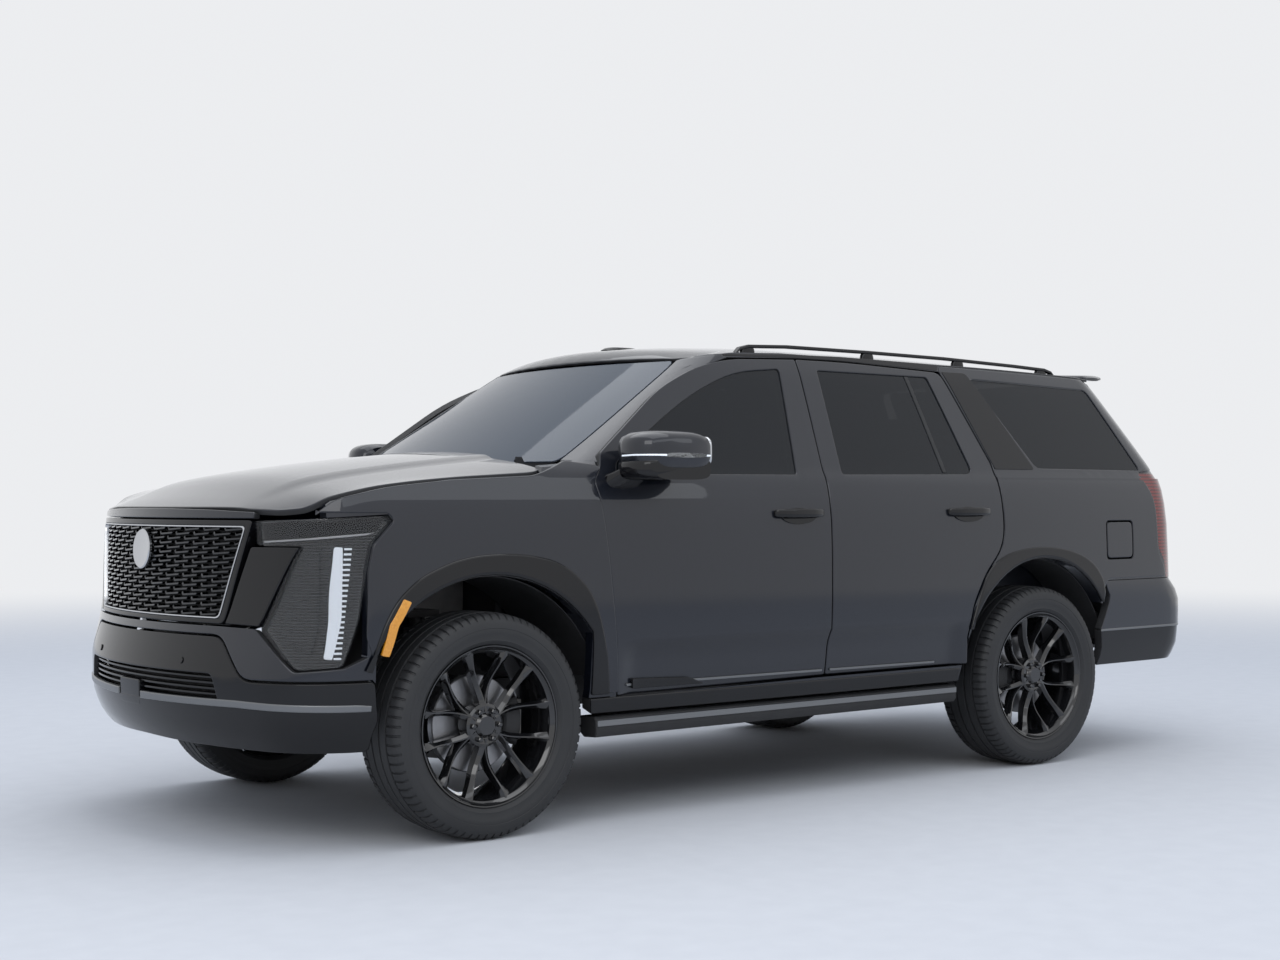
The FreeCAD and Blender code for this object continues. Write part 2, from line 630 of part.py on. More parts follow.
# Wheel arch flares, proud of the side by a few millimetres
proud = form(LOWER_LEVELS, -size("flare_proud")).cut(lower)
front_flare = proud.common(wheel_space(FRONT_AXLE, ARCH + size("flare_width"), 700))
front_flare = front_flare.cut(front_opening).common(
    side_prism(((1120, 490), (1120, 1150), (2215, 1150), (2215, 640), (2190, 500)), 500))
front_flare = front_flare.cut(front_doorway)
rear_flare = proud.common(wheel_space(REAR_AXLE, ARCH + size("flare_width"), 700))
rear_flare = rear_flare.cut(rear_space).common(block(-2100, -700, 500, WIDE, 490, 1150))
rear_flare = rear_flare.cut(side_prism(grown(REAR_DOOR, GAP), 300))
add_piece("arch_flares", both(Part.makeCompound(
    solids_over(front_flare, 50000).Solids + solids_over(rear_flare, 50000).Solids)))

# Wheel liners: half round shells over each wheel
LINER_WALL = 5.0
def liner(axle, inner, outer, floor):
    shell = Part.makeCylinder(ARCH - 1, outer - inner, Vector(axle, inner, TYRE), Vector(0, 1, 0))
    shell = shell.cut(Part.makeCylinder(
        ARCH - 1 - LINER_WALL, outer - inner, Vector(axle, inner, TYRE), Vector(0, 1, 0)))
    return shell.common(block(axle - 800, axle + 800, inner, outer, floor, 1100))


front_liner = liner(FRONT_AXLE, 500, 930, 560).cut(cover_zone)
rear_liner = liner(REAR_AXLE, 700, 940, 560).cut(side_prism(rear_doorway, 500))
add_piece("wheel_liners", both(Part.makeCompound([front_liner, rear_liner])))

# Frame: two rails raised over the axles, cross members, and the hitch receiver behind
PAN = size("floor_wall")
RAIL = size("rail_place")
RAIL_LOW = 400.0
RAIL_HIGH = 520.0
DEPTH = size("rail_depth")
RAIL_LINE = (
    (2400, RAIL_HIGH), (1520, RAIL_HIGH), (1375, RAIL_LOW), (-960, RAIL_LOW), (-1150, RAIL_HIGH),
    (-2440, RAIL_HIGH),
)
rail_outline = RAIL_LINE + tuple((x, z + DEPTH) for x, z in reversed(RAIL_LINE))
half_rail = size("rail_width") / 2
rail = side_prism(rail_outline, RAIL - half_rail, RAIL + half_rail)
inner_face = RAIL - half_rail
outer_face = RAIL + half_rail
SHAFT_ROOM = 27.0
rail = rail.fuse([
    block(FRONT_AXLE - 170, FRONT_AXLE + 170, inner_face, outer_face, 265, RAIL_HIGH + 5),
    block(REAR_AXLE - 150, REAR_AXLE + 150, inner_face, outer_face, 285, RAIL_HIGH + 5),
])
MOUNT_RADIUS = 42.0
# place along, height of the rail's top there, underside of the floor above
BODY_MOUNTS = (
    (1150, RAIL_LOW + DEPTH, FLOOR - PAN), (150, RAIL_LOW + DEPTH, FLOOR - PAN),
    (-800, RAIL_LOW + DEPTH, FLOOR - PAN), (-2200, RAIL_HIGH + DEPTH, 820 - PAN),
)
rail = rail.fuse([rod((along, RAIL, rail_top - 5), (along, RAIL, underside), MOUNT_RADIUS)
                  for along, rail_top, underside in BODY_MOUNTS])
rail = rail.removeSplitter().cut([
    rod((axle, inner_face - 1, TYRE), (axle, outer_face + 1, TYRE), SHAFT_ROOM)
    for axle in (FRONT_AXLE, REAR_AXLE)])
add_piece("frame_rails", both(rail))

# place along, reach along, underside, height, half length
CROSS_MEMBERS = (
    (2300, 90, RAIL_HIGH + 20, 90, inner_face), (FRONT_AXLE, 120, 265, 50, inner_face),
    (1250, 80, RAIL_LOW - 40, 40, outer_face), (500, 80, RAIL_LOW + 85, 45, inner_face),
    (-500, 80, RAIL_LOW + 85, 45, inner_face), (-2000, 80, RAIL_HIGH + 20, 90, inner_face),
    (-2390, 80, RAIL_HIGH + 5, 90, inner_face),
)
add_piece("frame_cross_members", Part.makeCompound([
    block(along - reach / 2, along + reach / 2, -half, half, low, low + tall)
    for along, reach, low, tall, half in CROSS_MEMBERS]))

# Hitch: a cross bar hung from the rails' ends on two plates, with the square socket under it
RECEIVER = size("receiver_size")
BORE = size("receiver_bore")
receiver_x = TAIL + 60
receiver_z = 390.0
PIN_BORE = 8.2
socket_half = RECEIVER / 2
hitch = block(-2440, -2376, -inner_face, inner_face, receiver_z - socket_half, receiver_z + socket_half)
hitch = hitch.fuse([
    block(receiver_x, -2400, -socket_half, socket_half, receiver_z - socket_half,
          receiver_z + socket_half),
    block(-2440, -2376, inner_face - 2, inner_face + 10, receiver_z - socket_half, RAIL_HIGH),
    block(-2440, -2376, -inner_face - 10, -inner_face + 2, receiver_z - socket_half, RAIL_HIGH),
])
hitch = hitch.removeSplitter().cut([
    block(receiver_x - 1, receiver_x + size("receiver_length"), -BORE / 2, BORE / 2,
          receiver_z - BORE / 2, receiver_z + BORE / 2),
    rod((receiver_x + 81, -60, receiver_z), (receiver_x + 81, 60, receiver_z), PIN_BORE),
])
add_piece("hitch_receiver", hitch)

# Floor with its toe board, and the raised load floor behind
PAN_LINE = (
    (1330, 1330), (1330, FLOOR), (-960, FLOOR), (-1060, 820), (-2488, 820), (-2488, 620),
    (-2458, 620), (-2458, 790), (-1080, 790), (-980, FLOOR - PAN), (1360, FLOOR - PAN),
    (1360, 1330),
)
pan = side_prism(PAN_LINE, -SILL_IN, SILL_IN).cut(house).cut(mirrored(house))
pan = pan.cut(wheel_space(FRONT_AXLE, ARCH + 1, 480)).cut(mirrored(
    wheel_space(FRONT_AXLE, ARCH + 1, 480)))
for side in (block(-3000, -2200, 790, WIDE, 500, 830), block(-3000, -2200, -WIDE, -790, 500, 830)):
    pan = pan.cut(side)
cowl = side_prism(((1330, 1325), (1360, 1325), (1360, 1366), (1441, 1370), (1441, 1388), (1270, 1388),
                   (1270, 1374), (1330, 1366)), -770, 770)
arm_slot = block(1372, 1442, HINGE_PLACE - 7, HINGE_PLACE + 14, 1360, 1390)
cowl = cowl.cut(arm_slot).cut(mirrored(arm_slot))
bracket = side_prism(((1340, 1290), (1340, 1330), (1388, 1414), (1412, 1414), (1412, 1386), (1380, 1290)),
                     HINGE_PLACE + 11, HINGE_PLACE + 21)
hinge_pin = rod((HOOD_PIVOT[0], HINGE_PLACE - 6, HOOD_PIVOT[1]),
                (HOOD_PIVOT[0], HINGE_PLACE + 12, HOOD_PIVOT[1]), HINGE_PIN)
hood_mount = bracket.fuse(hinge_pin)
gate_striker = block(-2535, -2480, -6, 6, 770, 790)
pan = solids_over(pan, 50000).fuse([cowl, hood_mount, mirrored(hood_mount), gate_striker])
add_piece("floor_pan", pan)

# Engine: one heavy block over the front axle, on the frame
engine = doc.addObject("Part::Box", "engine_block")
engine.Label = "engine_block"
for name, value in (("Length", "engine_length"), ("Width", "engine_width"), ("Height", "engine_depth")):
    engine.setExpression(name, "Sizes." + value)
engine.Placement = Placement(
    Vector(FRONT_AXLE - 330, -size("engine_width") / 2, RAIL_HIGH + 10), Rotation())
pieces.append(engine)


# Seats: cushion, leaning back and head rest, on a base that stands on the floor
def seat(front, middle, width, floor, base, lean=15):
    cushion = block(front - size("cushion_depth"), front, middle - width / 2, middle + width / 2,
                    floor + base, floor + base + size("cushion_wall"))
    back = block(0, size("back_wall"), -width / 2, width / 2, 0, size("back_rise"))
    rest = block(20, 20 + 90, -130, 130, size("back_rise") + 30, size("back_rise") + 190)
    stalk = block(50, 80, -60, 60, size("back_rise") - 10, size("back_rise") + 40)
    upright = back.fuse([rest, stalk])
    upright.rotate(Vector(0, 0, 0), Vector(0, 1, 0), -lean)
    upright.translate(Vector(front - size("cushion_depth") - 20, middle, floor + base + 40))
    foot = block(front - size("cushion_depth") + 60, front - 80, middle - width / 2 + 60,
                 middle + width / 2 - 60, floor, floor + base + 10)
    return cushion.fuse([upright, foot]).removeSplitter()


SEAT = size("seat_width")
front_seat = seat(560, 430, SEAT, FLOOR, 190)
add_piece("front_seats", both(front_seat))
second = seat(-380, 430, SEAT, FLOOR, 190)
third = seat(-1260, 0, 1140, 820, 80, 12)
add_piece("rear_seats", Part.makeCompound([second, mirrored(second), third]))

# Dashboard with the steering column
DASH = ((1330, 1290), (1180, 1330), (880, 1290), (840, 1180), (900, 1000), (1000, 900), (1330, 900))
dash = side_prism(DASH, -840, 840)
column_end = Vector(735, 400, 1135)
column_way = Vector(-math.cos(math.radians(24)), 0, math.sin(math.radians(24)))
column_start = column_end - column_way * 320
column = Part.makeCylinder(38, 250, column_start, column_way)
add_piece("dashboard", dash.fuse(column))
RIM = size("steering_radius")
GRIP = size("grip_radius")
grip_section = Part.makePolygon([
    Vector(RIM + GRIP * math.cos(math.radians(turn)), 0, GRIP * math.sin(math.radians(turn)))
    for turn in range(0, 361, 60)])
grip = Part.Face(grip_section).revolve(Vector(), Vector(0, 0, 1), 360)
hub = Part.makeCylinder(62, 36, Vector(0, 0, -30))
spokes = [block(0, RIM, -18, 18, -14, 0).rotated(Vector(), Vector(0, 0, 1), a) for a in (0, 90, 180)]
steering = grip.fuse([hub] + spokes)
stem = Part.makeCylinder(20, 45, Vector(0, 0, -69.5))
steering = steering.fuse(stem)
turn_to = Rotation(Vector(0, 0, 1), column_way)
steering_piece = add_piece("steering_wheel", steering)
steering_piece.Placement = Placement(column_end, turn_to)

# Running boards on two brackets each
board = block(-646, 1232, 870, 985, 330, 412)
board = board.makeFillet(14, [e for e in board.Edges if abs(e.Length - 1878) < 1])
brackets = [block(x - 30, x + 30, outer_face, 900, 405, 428) for x in (1000, 300, -450)]
board = board.fuse(brackets)
add_piece("running_boards", both(board))

# Roof rails: a bar on three feet along each edge of the roof
rail_y = 712.0
def roof_z(x, y):
    top = [p for p in ROOF_LINE]
    for (x0, z0), (x1, z1) in zip(top, top[1:]):
        if x1 <= x <= x0:
            z = z0 + (z1 - z0) * (x - x0) / (x1 - x0)
            axis = ROOF - ROOF_CROWN
            return axis + math.sqrt((z - axis) ** 2 - y * y)


FOOT_PLACES = (250, -650, -1740)
bar_points = [(300, 4), (180, 40), (-650, 42), (-1600, 40), (-1800, 4)]
outline = [(x, roof_z(x, rail_y) + lift) for x, lift in bar_points]
outline += [(x, z - 22) for x, z in reversed(outline)]
roof_bar = side_prism(outline, rail_y - 16, rail_y + 16)
feet = [block(x - 45, x + 45, rail_y - 15, rail_y + 15, roof_z(x, rail_y) - 30,
              roof_z(x, rail_y) + 25) for x in FOOT_PLACES]
roof_bar = roof_bar.fuse(feet).cut(roof).cut(sides)
add_piece("roof_rails", both(solids_over(roof_bar, 20000)))

# Front suspension: wishbones, coil struts and half shafts that carry the knuckles
KING = TRACK - size("kingpin_offset")
def wishbone(axle, height, reach, inner, tip):
    outline = ((axle - reach, inner), (axle - reach + 40, inner), (axle - 14, tip - 60),
               (axle + 14, tip - 60), (axle + reach - 40, inner), (axle + reach, inner),
               (axle + 22, tip), (axle - 22, tip))
    return plan_prism(outline, height, height + 26)


arm_inner = outer_face
PIN_BOSS = 16.0
KING_PIN = 11.0
KING_BORE = 11.4
low_arm = wishbone(FRONT_AXLE, 275, 160, arm_inner, KING + PIN_BOSS)
high_arm = wishbone(FRONT_AXLE, 545, 120, arm_inner, KING + PIN_BOSS)
strut = rod((FRONT_AXLE + 50, 600, 290), (FRONT_AXLE + 50, 540, 800), 26)
coil = rod((FRONT_AXLE + 50, 572, 530), (FRONT_AXLE + 50, 545, 760), 50)
tower = block(FRONT_AXLE - 20, FRONT_AXLE + 120, arm_inner, 600, 800, 826).fuse(
    block(FRONT_AXLE - 20, FRONT_AXLE + 120, arm_inner, arm_inner + 14, RAIL_HIGH + 60, 820))
front_diff = block(FRONT_AXLE - 60, FRONT_AXLE + 60, -110, 110, 315, 500)
shaft = rod((FRONT_AXLE, 110, TYRE), (FRONT_AXLE, KING - 48, TYRE), 17)
front_corner = low_arm.fuse([high_arm.cut(coil), strut, coil, tower])
front_corner = front_corner.cut(rod((FRONT_AXLE, KING, 200), (FRONT_AXLE, KING, 700), KING_BORE))
add_piece("front_suspension", Part.makeCompound([front_corner, mirrored(front_corner)]))
driveline = front_diff.fuse([shaft, mirrored(shaft)])
rear_diff = block(REAR_AXLE - 130, REAR_AXLE + 110, -120, 120, 325, 505)
rear_shaft = rod((REAR_AXLE, 110, TYRE), (REAR_AXLE, KING - 48, TYRE), 19)
prop = rod((FRONT_AXLE - 600, 0, 445), (REAR_AXLE + 100, 0, 420), 34)
gearbox = block(FRONT_AXLE - 820, FRONT_AXLE - 330, -170, 170, 400, 555)
driveline = driveline.fuse([rear_diff, rear_shaft, mirrored(rear_shaft), prop, gearbox])
add_piece("driveline", driveline)

# Rear suspension: wishbones, springs and the hub carriers with their callipers
rear_arm = wishbone(REAR_AXLE, 285, 140, arm_inner, KING)
rear_high = wishbone(REAR_AXLE, 545, 110, arm_inner, KING)
spring = rod((REAR_AXLE - 85, 560, 300), (REAR_AXLE - 85, 560, 760), 55)
upright = block(REAR_AXLE - 35, REAR_AXLE + 35, KING - 40, KING, 285, 571)
spindle = Part.makeCylinder(28, 122, Vector(REAR_AXLE, KING - 30, TYRE), Vector(0, 1, 0))


# Brake calliper: a saddle over the disc's edge, clear of it on both sides
DISC = size("disc_radius")
def calliper(axle, angle):
    saddle = block(-75, 75, TRACK - 62, TRACK + 6, DISC - 70, DISC + 26)
    throat = block(-80, 80, TRACK - 51, TRACK - 9, DISC - 90, DISC + 8)
    saddle = saddle.cut(throat)
    bracket = block(-30, 30, KING - 30, TRACK - 55, 20, DISC - 45)
    whole = saddle.fuse(bracket)
    whole.rotate(Vector(0, 0, 0), Vector(0, 1, 0), angle)
    whole.translate(Vector(axle, 0, TYRE))
    return whole


rear_corner = upright.fuse([spindle, calliper(REAR_AXLE, 90)])
rear_corner = rear_corner.fuse([rear_arm, rear_high])
rear_corner = rear_corner.cut(rear_shaft).fuse(spring)
add_piece("rear_suspension", both(rear_corner))

# Exhaust: pipe and silencer on the right, beside the rail and hung from its underside
PIPE_PLACE = -330.0
PIPE_HEIGHT = 360.0
PIPE_RADIUS = 32.0
SILENCER_RADIUS = 75.0
pipe = rod((700, PIPE_PLACE, PIPE_HEIGHT), (-700, PIPE_PLACE, PIPE_HEIGHT), PIPE_RADIUS)
silencer = rod((-750, PIPE_PLACE, PIPE_HEIGHT), (-160, PIPE_PLACE, PIPE_HEIGHT), SILENCER_RADIUS)
exhaust = pipe.fuse(silencer)
hangers = [block(x - 12, x + 12, -RAIL + half_rail - 20, PIPE_PLACE + 10, 380, RAIL_LOW)
           for x in (500, -500)]
exhaust = exhaust.fuse(hangers)
add_piece("exhaust", exhaust)

# Steering knuckles with their spindles and callipers
knuckle = block(FRONT_AXLE - 30, FRONT_AXLE + 30, KING - 36, KING + 20, 310, 536)
king_pin = rod((FRONT_AXLE, KING, 250), (FRONT_AXLE, KING, 590), KING_PIN)
front_spindle = Part.makeCylinder(28, 122, Vector(FRONT_AXLE, KING - 30, TYRE), Vector(0, 1, 0))
knuckle = knuckle.fuse([king_pin, front_spindle, calliper(FRONT_AXLE, -90)])
add_piece("knuckle_left", knuckle)
add_piece("knuckle_right", mirrored(knuckle))


# Wheels: barrel, hub with brake disc, and twelve spokes in six pairs
def origin_plane(body, role):
    return [f for f in body.Origin.OriginFeatures if f.Role == role][0]


def closed_sketch(body, name, role, points, offset=0.0):
    sketch = body.newObject("Sketcher::SketchObject", name)
    sketch.AttachmentSupport = (origin_plane(body, role), [""])
    sketch.MapMode = "FlatFace"
    sketch.AttachmentOffset = Placement(Vector(0, 0, offset), Rotation())
    for (x0, y0), (x1, y1) in zip(points, points[1:] + points[:1]):
        sketch.addGeometry(Part.LineSegment(Vector(x0, y0, 0), Vector(x1, y1, 0)), False)
    count = len(points)
    for index in range(count):
        sketch.addConstraint(
            Sketcher.Constraint("Coincident", index, 2, (index + 1) % count, 1))
    return sketch


def turned(body, name, points):
    sketch = closed_sketch(body, name + "_outline", "XZ_Plane", points)
    feature = body.newObject("PartDesign::Revolution", name)
    feature.Profile = sketch
    feature.ReferenceAxis = (sketch, ["V_Axis"])
    feature.Angle = 360
    sketch.Visibility = False
    return feature


RIM_TOP = size("rim_radius")
RIM_INNER = RIM_TOP - size("rim_wall")
HALF_RIM = size("rim_width") / 2
HUB = size("hub_face")
HUB_RADIUS = 88.0
BORE_WALL = 28.4
# Outlines to be turned, as (radius, place along the axle)
BARREL = [
    (RIM_TOP, HALF_RIM), (RIM_TOP, -HALF_RIM), (RIM_INNER + 16, -HALF_RIM), (RIM_INNER, 40 - HALF_RIM),
    (RIM_INNER, HALF_RIM - 40), (RIM_INNER + 16, HALF_RIM),
]
HUB_LINE = [
    (BORE_WALL, -45), (DISC, -45), (DISC, -15), (HUB_RADIUS, -15), (HUB_RADIUS, HUB), (0, HUB),
    (0, 42), (BORE_WALL, 42),
]
DISH_FRONT = [
    (60, HUB + 8), (160, HUB + 14), (RIM_TOP - 6, HALF_RIM - 15), (RIM_TOP - 6, HALF_RIM + 20),
    (60, HALF_RIM + 20),
]
DISH_BACK = [(HUB_RADIUS + 4, 12), (HUB_RADIUS + 4, 22), (180, 34), (RIM_TOP - 6, 72), (RIM_TOP - 6, 12)]
TREAD_HALF = size("tyre_width") / 2
SHOULDER = 17.0
TYRE_LINE = [
    (RIM_TOP + 0.4, TREAD_HALF), (TYRE - SHOULDER, TREAD_HALF), (TYRE, TREAD_HALF - SHOULDER),
    (TYRE, SHOULDER - TREAD_HALF), (TYRE - SHOULDER, -TREAD_HALF), (RIM_TOP + 0.4, -TREAD_HALF),
]
SPOKE_REACH = RIM_TOP - 13
LEG_TURN = 15.0
LEG_SPREAD = 4.6


def polar(radius, turn):
    return (radius * math.cos(math.radians(turn)), radius * math.sin(math.radians(turn)))


# One pair of spokes seen from the front: a V whose legs widen towards the rim
V_SPOKE = [
    (70, -30), polar(SPOKE_REACH, -LEG_TURN - LEG_SPREAD), polar(SPOKE_REACH, LEG_SPREAD - LEG_TURN),
    (125, 0), polar(SPOKE_REACH, LEG_TURN - LEG_SPREAD), polar(SPOKE_REACH, LEG_TURN + LEG_SPREAD),
    (70, 30),
]
SPOKE_BACK = 14.0


def turned_off(body, name, points):
    sketch = closed_sketch(body, name + "_outline", "XZ_Plane", points)
    feature = body.newObject("PartDesign::Groove", name)
    feature.Profile = sketch
    feature.ReferenceAxis = (sketch, ["V_Axis"])
    feature.Angle = 360
    sketch.Visibility = False
    return feature


def wheel(name, place, turn):
    body = doc.addObject("PartDesign::Body", name)
    body.Label = name
    turned(body, name + "_hub", HUB_LINE)
    sketch = closed_sketch(body, name + "_spoke_outline", "XY_Plane", V_SPOKE, SPOKE_BACK)
    spoke = body.newObject("PartDesign::Pad", name + "_spoke")
    spoke.Profile = sketch
    spoke.setExpression("Length", "Sizes.rim_width / 2 - %g" % (SPOKE_BACK + 4))
    sketch.Visibility = False
    doc.recompute()
    ring = body.newObject("PartDesign::PolarPattern", name + "_spokes")
    ring.Originals = [spoke]
    ring.Axis = (sketch, ["N_Axis"])
    ring.Angle = 360
    ring.Occurrences = 6
    body.Tip = ring
    doc.recompute()
    turned_off(body, name + "_front_dish", DISH_FRONT)
    turned_off(body, name + "_back_dish", DISH_BACK)
    turned(body, name + "_barrel", BARREL)
    doc.recompute()
    body.Placement = Placement(place, Rotation(Vector(1, 0, 0), turn))
    pieces.append(body)


def tyre(name, place, turn):
    body = doc.addObject("PartDesign::Body", name)
    body.Label = name
    turned(body, name + "_carcass", TYRE_LINE)
    doc.recompute()
    body.Placement = Placement(place, Rotation(Vector(1, 0, 0), turn))
    pieces.append(body)


for end, axle in (("front", FRONT_AXLE), ("rear", REAR_AXLE)):
    for side, sign in (("left", 1), ("right", -1)):
        place = Vector(axle, sign * TRACK, TYRE)
        wheel("%s_wheel_%s" % (end, side), place, -90 * sign)
        tyre("%s_tyre_%s" % (end, side), place, -90 * sign)

doc.recompute()
for item in doc.Objects:
    if "Invalid" in item.State or "Error" in item.State:
        raise RuntimeError("%s did not build" % item.Label)
for piece in pieces:
    if piece.Shape.isNull() or not piece.Shape.isValid():
        raise RuntimeError("%s has no sound shape" % piece.Label)
os.makedirs("parts", exist_ok=True)
for piece in pieces:
    piece.Shape.exportStep("parts/%s.step" % piece.Label)
    print("%-26s %2d %9.2f" % (
        piece.Label, len(piece.Shape.Solids), piece.Shape.Volume / 1e6))
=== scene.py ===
import json
import math

import bmesh
import bpy
from mathutils import Matrix, Vector
from mathutils.geometry import delaunay_2d_cdt


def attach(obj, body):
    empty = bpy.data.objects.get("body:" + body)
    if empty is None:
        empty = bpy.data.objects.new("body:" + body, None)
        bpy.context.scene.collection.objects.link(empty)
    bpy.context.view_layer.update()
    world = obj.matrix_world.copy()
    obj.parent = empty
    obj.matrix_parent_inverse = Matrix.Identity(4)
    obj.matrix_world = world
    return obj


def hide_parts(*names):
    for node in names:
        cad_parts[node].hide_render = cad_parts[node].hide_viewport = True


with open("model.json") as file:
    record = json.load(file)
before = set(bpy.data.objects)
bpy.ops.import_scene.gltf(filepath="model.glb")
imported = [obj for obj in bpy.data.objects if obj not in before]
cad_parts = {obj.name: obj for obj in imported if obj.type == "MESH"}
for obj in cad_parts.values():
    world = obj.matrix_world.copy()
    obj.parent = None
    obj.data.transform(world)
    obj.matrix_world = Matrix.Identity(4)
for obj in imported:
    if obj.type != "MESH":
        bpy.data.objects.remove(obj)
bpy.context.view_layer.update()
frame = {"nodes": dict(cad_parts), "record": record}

nodes = frame["nodes"]
collection = bpy.context.scene.collection


# Camera and studio. The camera stands where the photograph was taken, ahead of the left front
# wheel at chest height. The studio is a pale floor under a soft sky dome with broad lamps.
CAMERA_PLACE = Vector((5.4446, 6.6536, 1.2523))
CAMERA_HEADING = math.radians(-127.989)
CAMERA_PITCH = math.radians(0.563)
CAMERA_ROLL = math.radians(-0.104)
LENS_PIXELS = 1841.64
IMAGE_WIDTH = 1280
SENSOR = 36.0

ahead = Vector((
    math.cos(CAMERA_HEADING) * math.cos(CAMERA_PITCH),
    math.sin(CAMERA_HEADING) * math.cos(CAMERA_PITCH),
    math.sin(CAMERA_PITCH)))
level = Vector((math.sin(CAMERA_HEADING), -math.cos(CAMERA_HEADING), 0))
upright = level.cross(ahead)
across = level * math.cos(CAMERA_ROLL) + upright * math.sin(CAMERA_ROLL)
upright = upright * math.cos(CAMERA_ROLL) - level * math.sin(CAMERA_ROLL)
camera = bpy.data.objects.new("camera", bpy.data.cameras.new("camera"))
collection.objects.link(camera)
camera_turn = Matrix((across, upright, -ahead)).transposed().to_4x4()
camera.matrix_world = Matrix.Translation(CAMERA_PLACE) @ camera_turn
camera.data.sensor_width = SENSOR
camera.data.lens = LENS_PIXELS * SENSOR / IMAGE_WIDTH
camera.data.clip_end = 200
bpy.context.scene.camera = camera
bpy.context.scene.view_settings.view_transform = "Standard"


class Tone:
    """One socket of a finish's nodes: sums and products of tones add the Math nodes."""

    def __init__(self, tree, socket):
        self.tree = tree
        self.socket = socket

    def add(self, kind, settings=None, inputs=None, output=0):
        node = self.tree.nodes.new(kind)
        for key, value in (settings or {}).items():
            if key == "stops":
                ramp = node.color_ramp
                for stop in range(len(value) - 2):
                    ramp.elements.new(0.5)
                for element, (place, colour) in zip(ramp.elements, value):
                    element.position = place
                    element.color = colour
            else:
                setattr(node, key, value)
        for key, value in (inputs or {}).items():
            if isinstance(value, Tone):
                self.tree.links.new(value.socket, node.inputs[key])
            else:
                node.inputs[key].default_value = value
        return Tone(self.tree, node.outputs[output])

    def maths(self, operation, *values):
        return self.add("ShaderNodeMath", {"operation": operation}, dict(enumerate(values)))

    def mix(self, low, high):
        # This tone chooses between two colours
        return self.add("ShaderNodeMix", {"data_type": "RGBA"}, {0: self, 6: low, 7: high}, 2)

    def between(self, low, high):
        # 0 below low, 1 above high
        return self.add("ShaderNodeMapRange", {"interpolation_type": "SMOOTHSTEP"},
                        {0: self, 1: low, 2: high})

    def __add__(self, other):
        return self.maths("ADD", self, other)

    __radd__ = __add__

    def __sub__(self, other):
        return self.maths("SUBTRACT", self, other)

    def __rsub__(self, other):
        return self.maths("SUBTRACT", other, self)

    def __mul__(self, other):
        return self.maths("MULTIPLY", self, other)

    __rmul__ = __mul__


def finish(name, colour, roughness, **fixed):
    # A new finish: its principled shader, and the Object coordinates that its pattern follows
    material = bpy.data.materials.new(name)
    material.use_nodes = True
    tree = material.node_tree
    shader = tree.nodes["Principled BSDF"]
    shader.inputs["Base Color"].default_value = (*colour, 1)
    shader.inputs["Roughness"].default_value = roughness
    for key, value in fixed.items():
        shader.inputs[key.replace("_", " ")].default_value = value
    place = tree.nodes.new("ShaderNodeTexCoord").outputs["Object"]
    return material, shader, Tone(tree, place)


def feed(shader, socket, tone):
    tone.tree.links.new(tone.socket, shader.inputs[socket])


def noise(place, scale, detail):
    return place.add("ShaderNodeTexNoise", None, {"Vector": place, "Scale": scale, "Detail": detail})


def cells(place, scale, output=0):
    # Output 0 is the distance from a cell's middle, output 1 the cell's own colour
    return place.add("ShaderNodeTexVoronoi", None, {"Vector": place, "Scale": scale}, output)


def roughen(shader, height, distance):
    # A height pattern on the surface
    bump = height.add("ShaderNodeBump", None, {"Height": height, "Distance": distance, "Strength": 1.0})
    feed(shader, "Normal", bump)


FLOOR_COLOUR = (0.60, 0.60, 0.61)
BACKDROP = (0.84, 0.85, 0.87, 1)
floor_finish, shader, place = finish("studio_floor", FLOOR_COLOUR, 0.9)
grit = noise(place, 9.0, 6.0)
feed(shader, "Base Color", grit.mix((0.57, 0.57, 0.58, 1), (0.63, 0.63, 0.635, 1)))
FLOOR_REACH = 60.0
HAZE_START = 7.0
HAZE_END = 19.0
distance = place.add("ShaderNodeVectorMath", {"operation": "LENGTH"}, {0: place}, 1)
far = distance.between(HAZE_START, HAZE_END)


def shown(tone):
    # What the camera sees straight, in gloss or through glass
    rays = [tone.add("ShaderNodeLightPath", None, None, k) for k in (0, 3, 6)]
    total = rays[0] + rays[1] + rays[2]
    return total.maths("MINIMUM", total, 1.0)


seen = shown(place)
haze = place.add("ShaderNodeEmission", None, {"Color": BACKDROP, "Strength": 1.0})
blend = place.add("ShaderNodeMixShader", None, {0: far * seen})
place.tree.links.new(shader.outputs[0], blend.socket.node.inputs[1])
place.tree.links.new(haze.socket, blend.socket.node.inputs[2])
place.tree.links.new(blend.socket, place.tree.nodes["Material Output"].inputs["Surface"])
mesh = bpy.data.meshes.new("studio_floor")
mesh.from_pydata([(x * FLOOR_REACH, y * FLOOR_REACH, 0) for x, y in ((-1, -1), (1, -1), (1, 1), (-1, 1))],
                 [], [(0, 1, 2, 3)])
floor = bpy.data.objects.new("studio_floor", mesh)
mesh.materials.append(floor_finish)
collection.objects.link(floor)

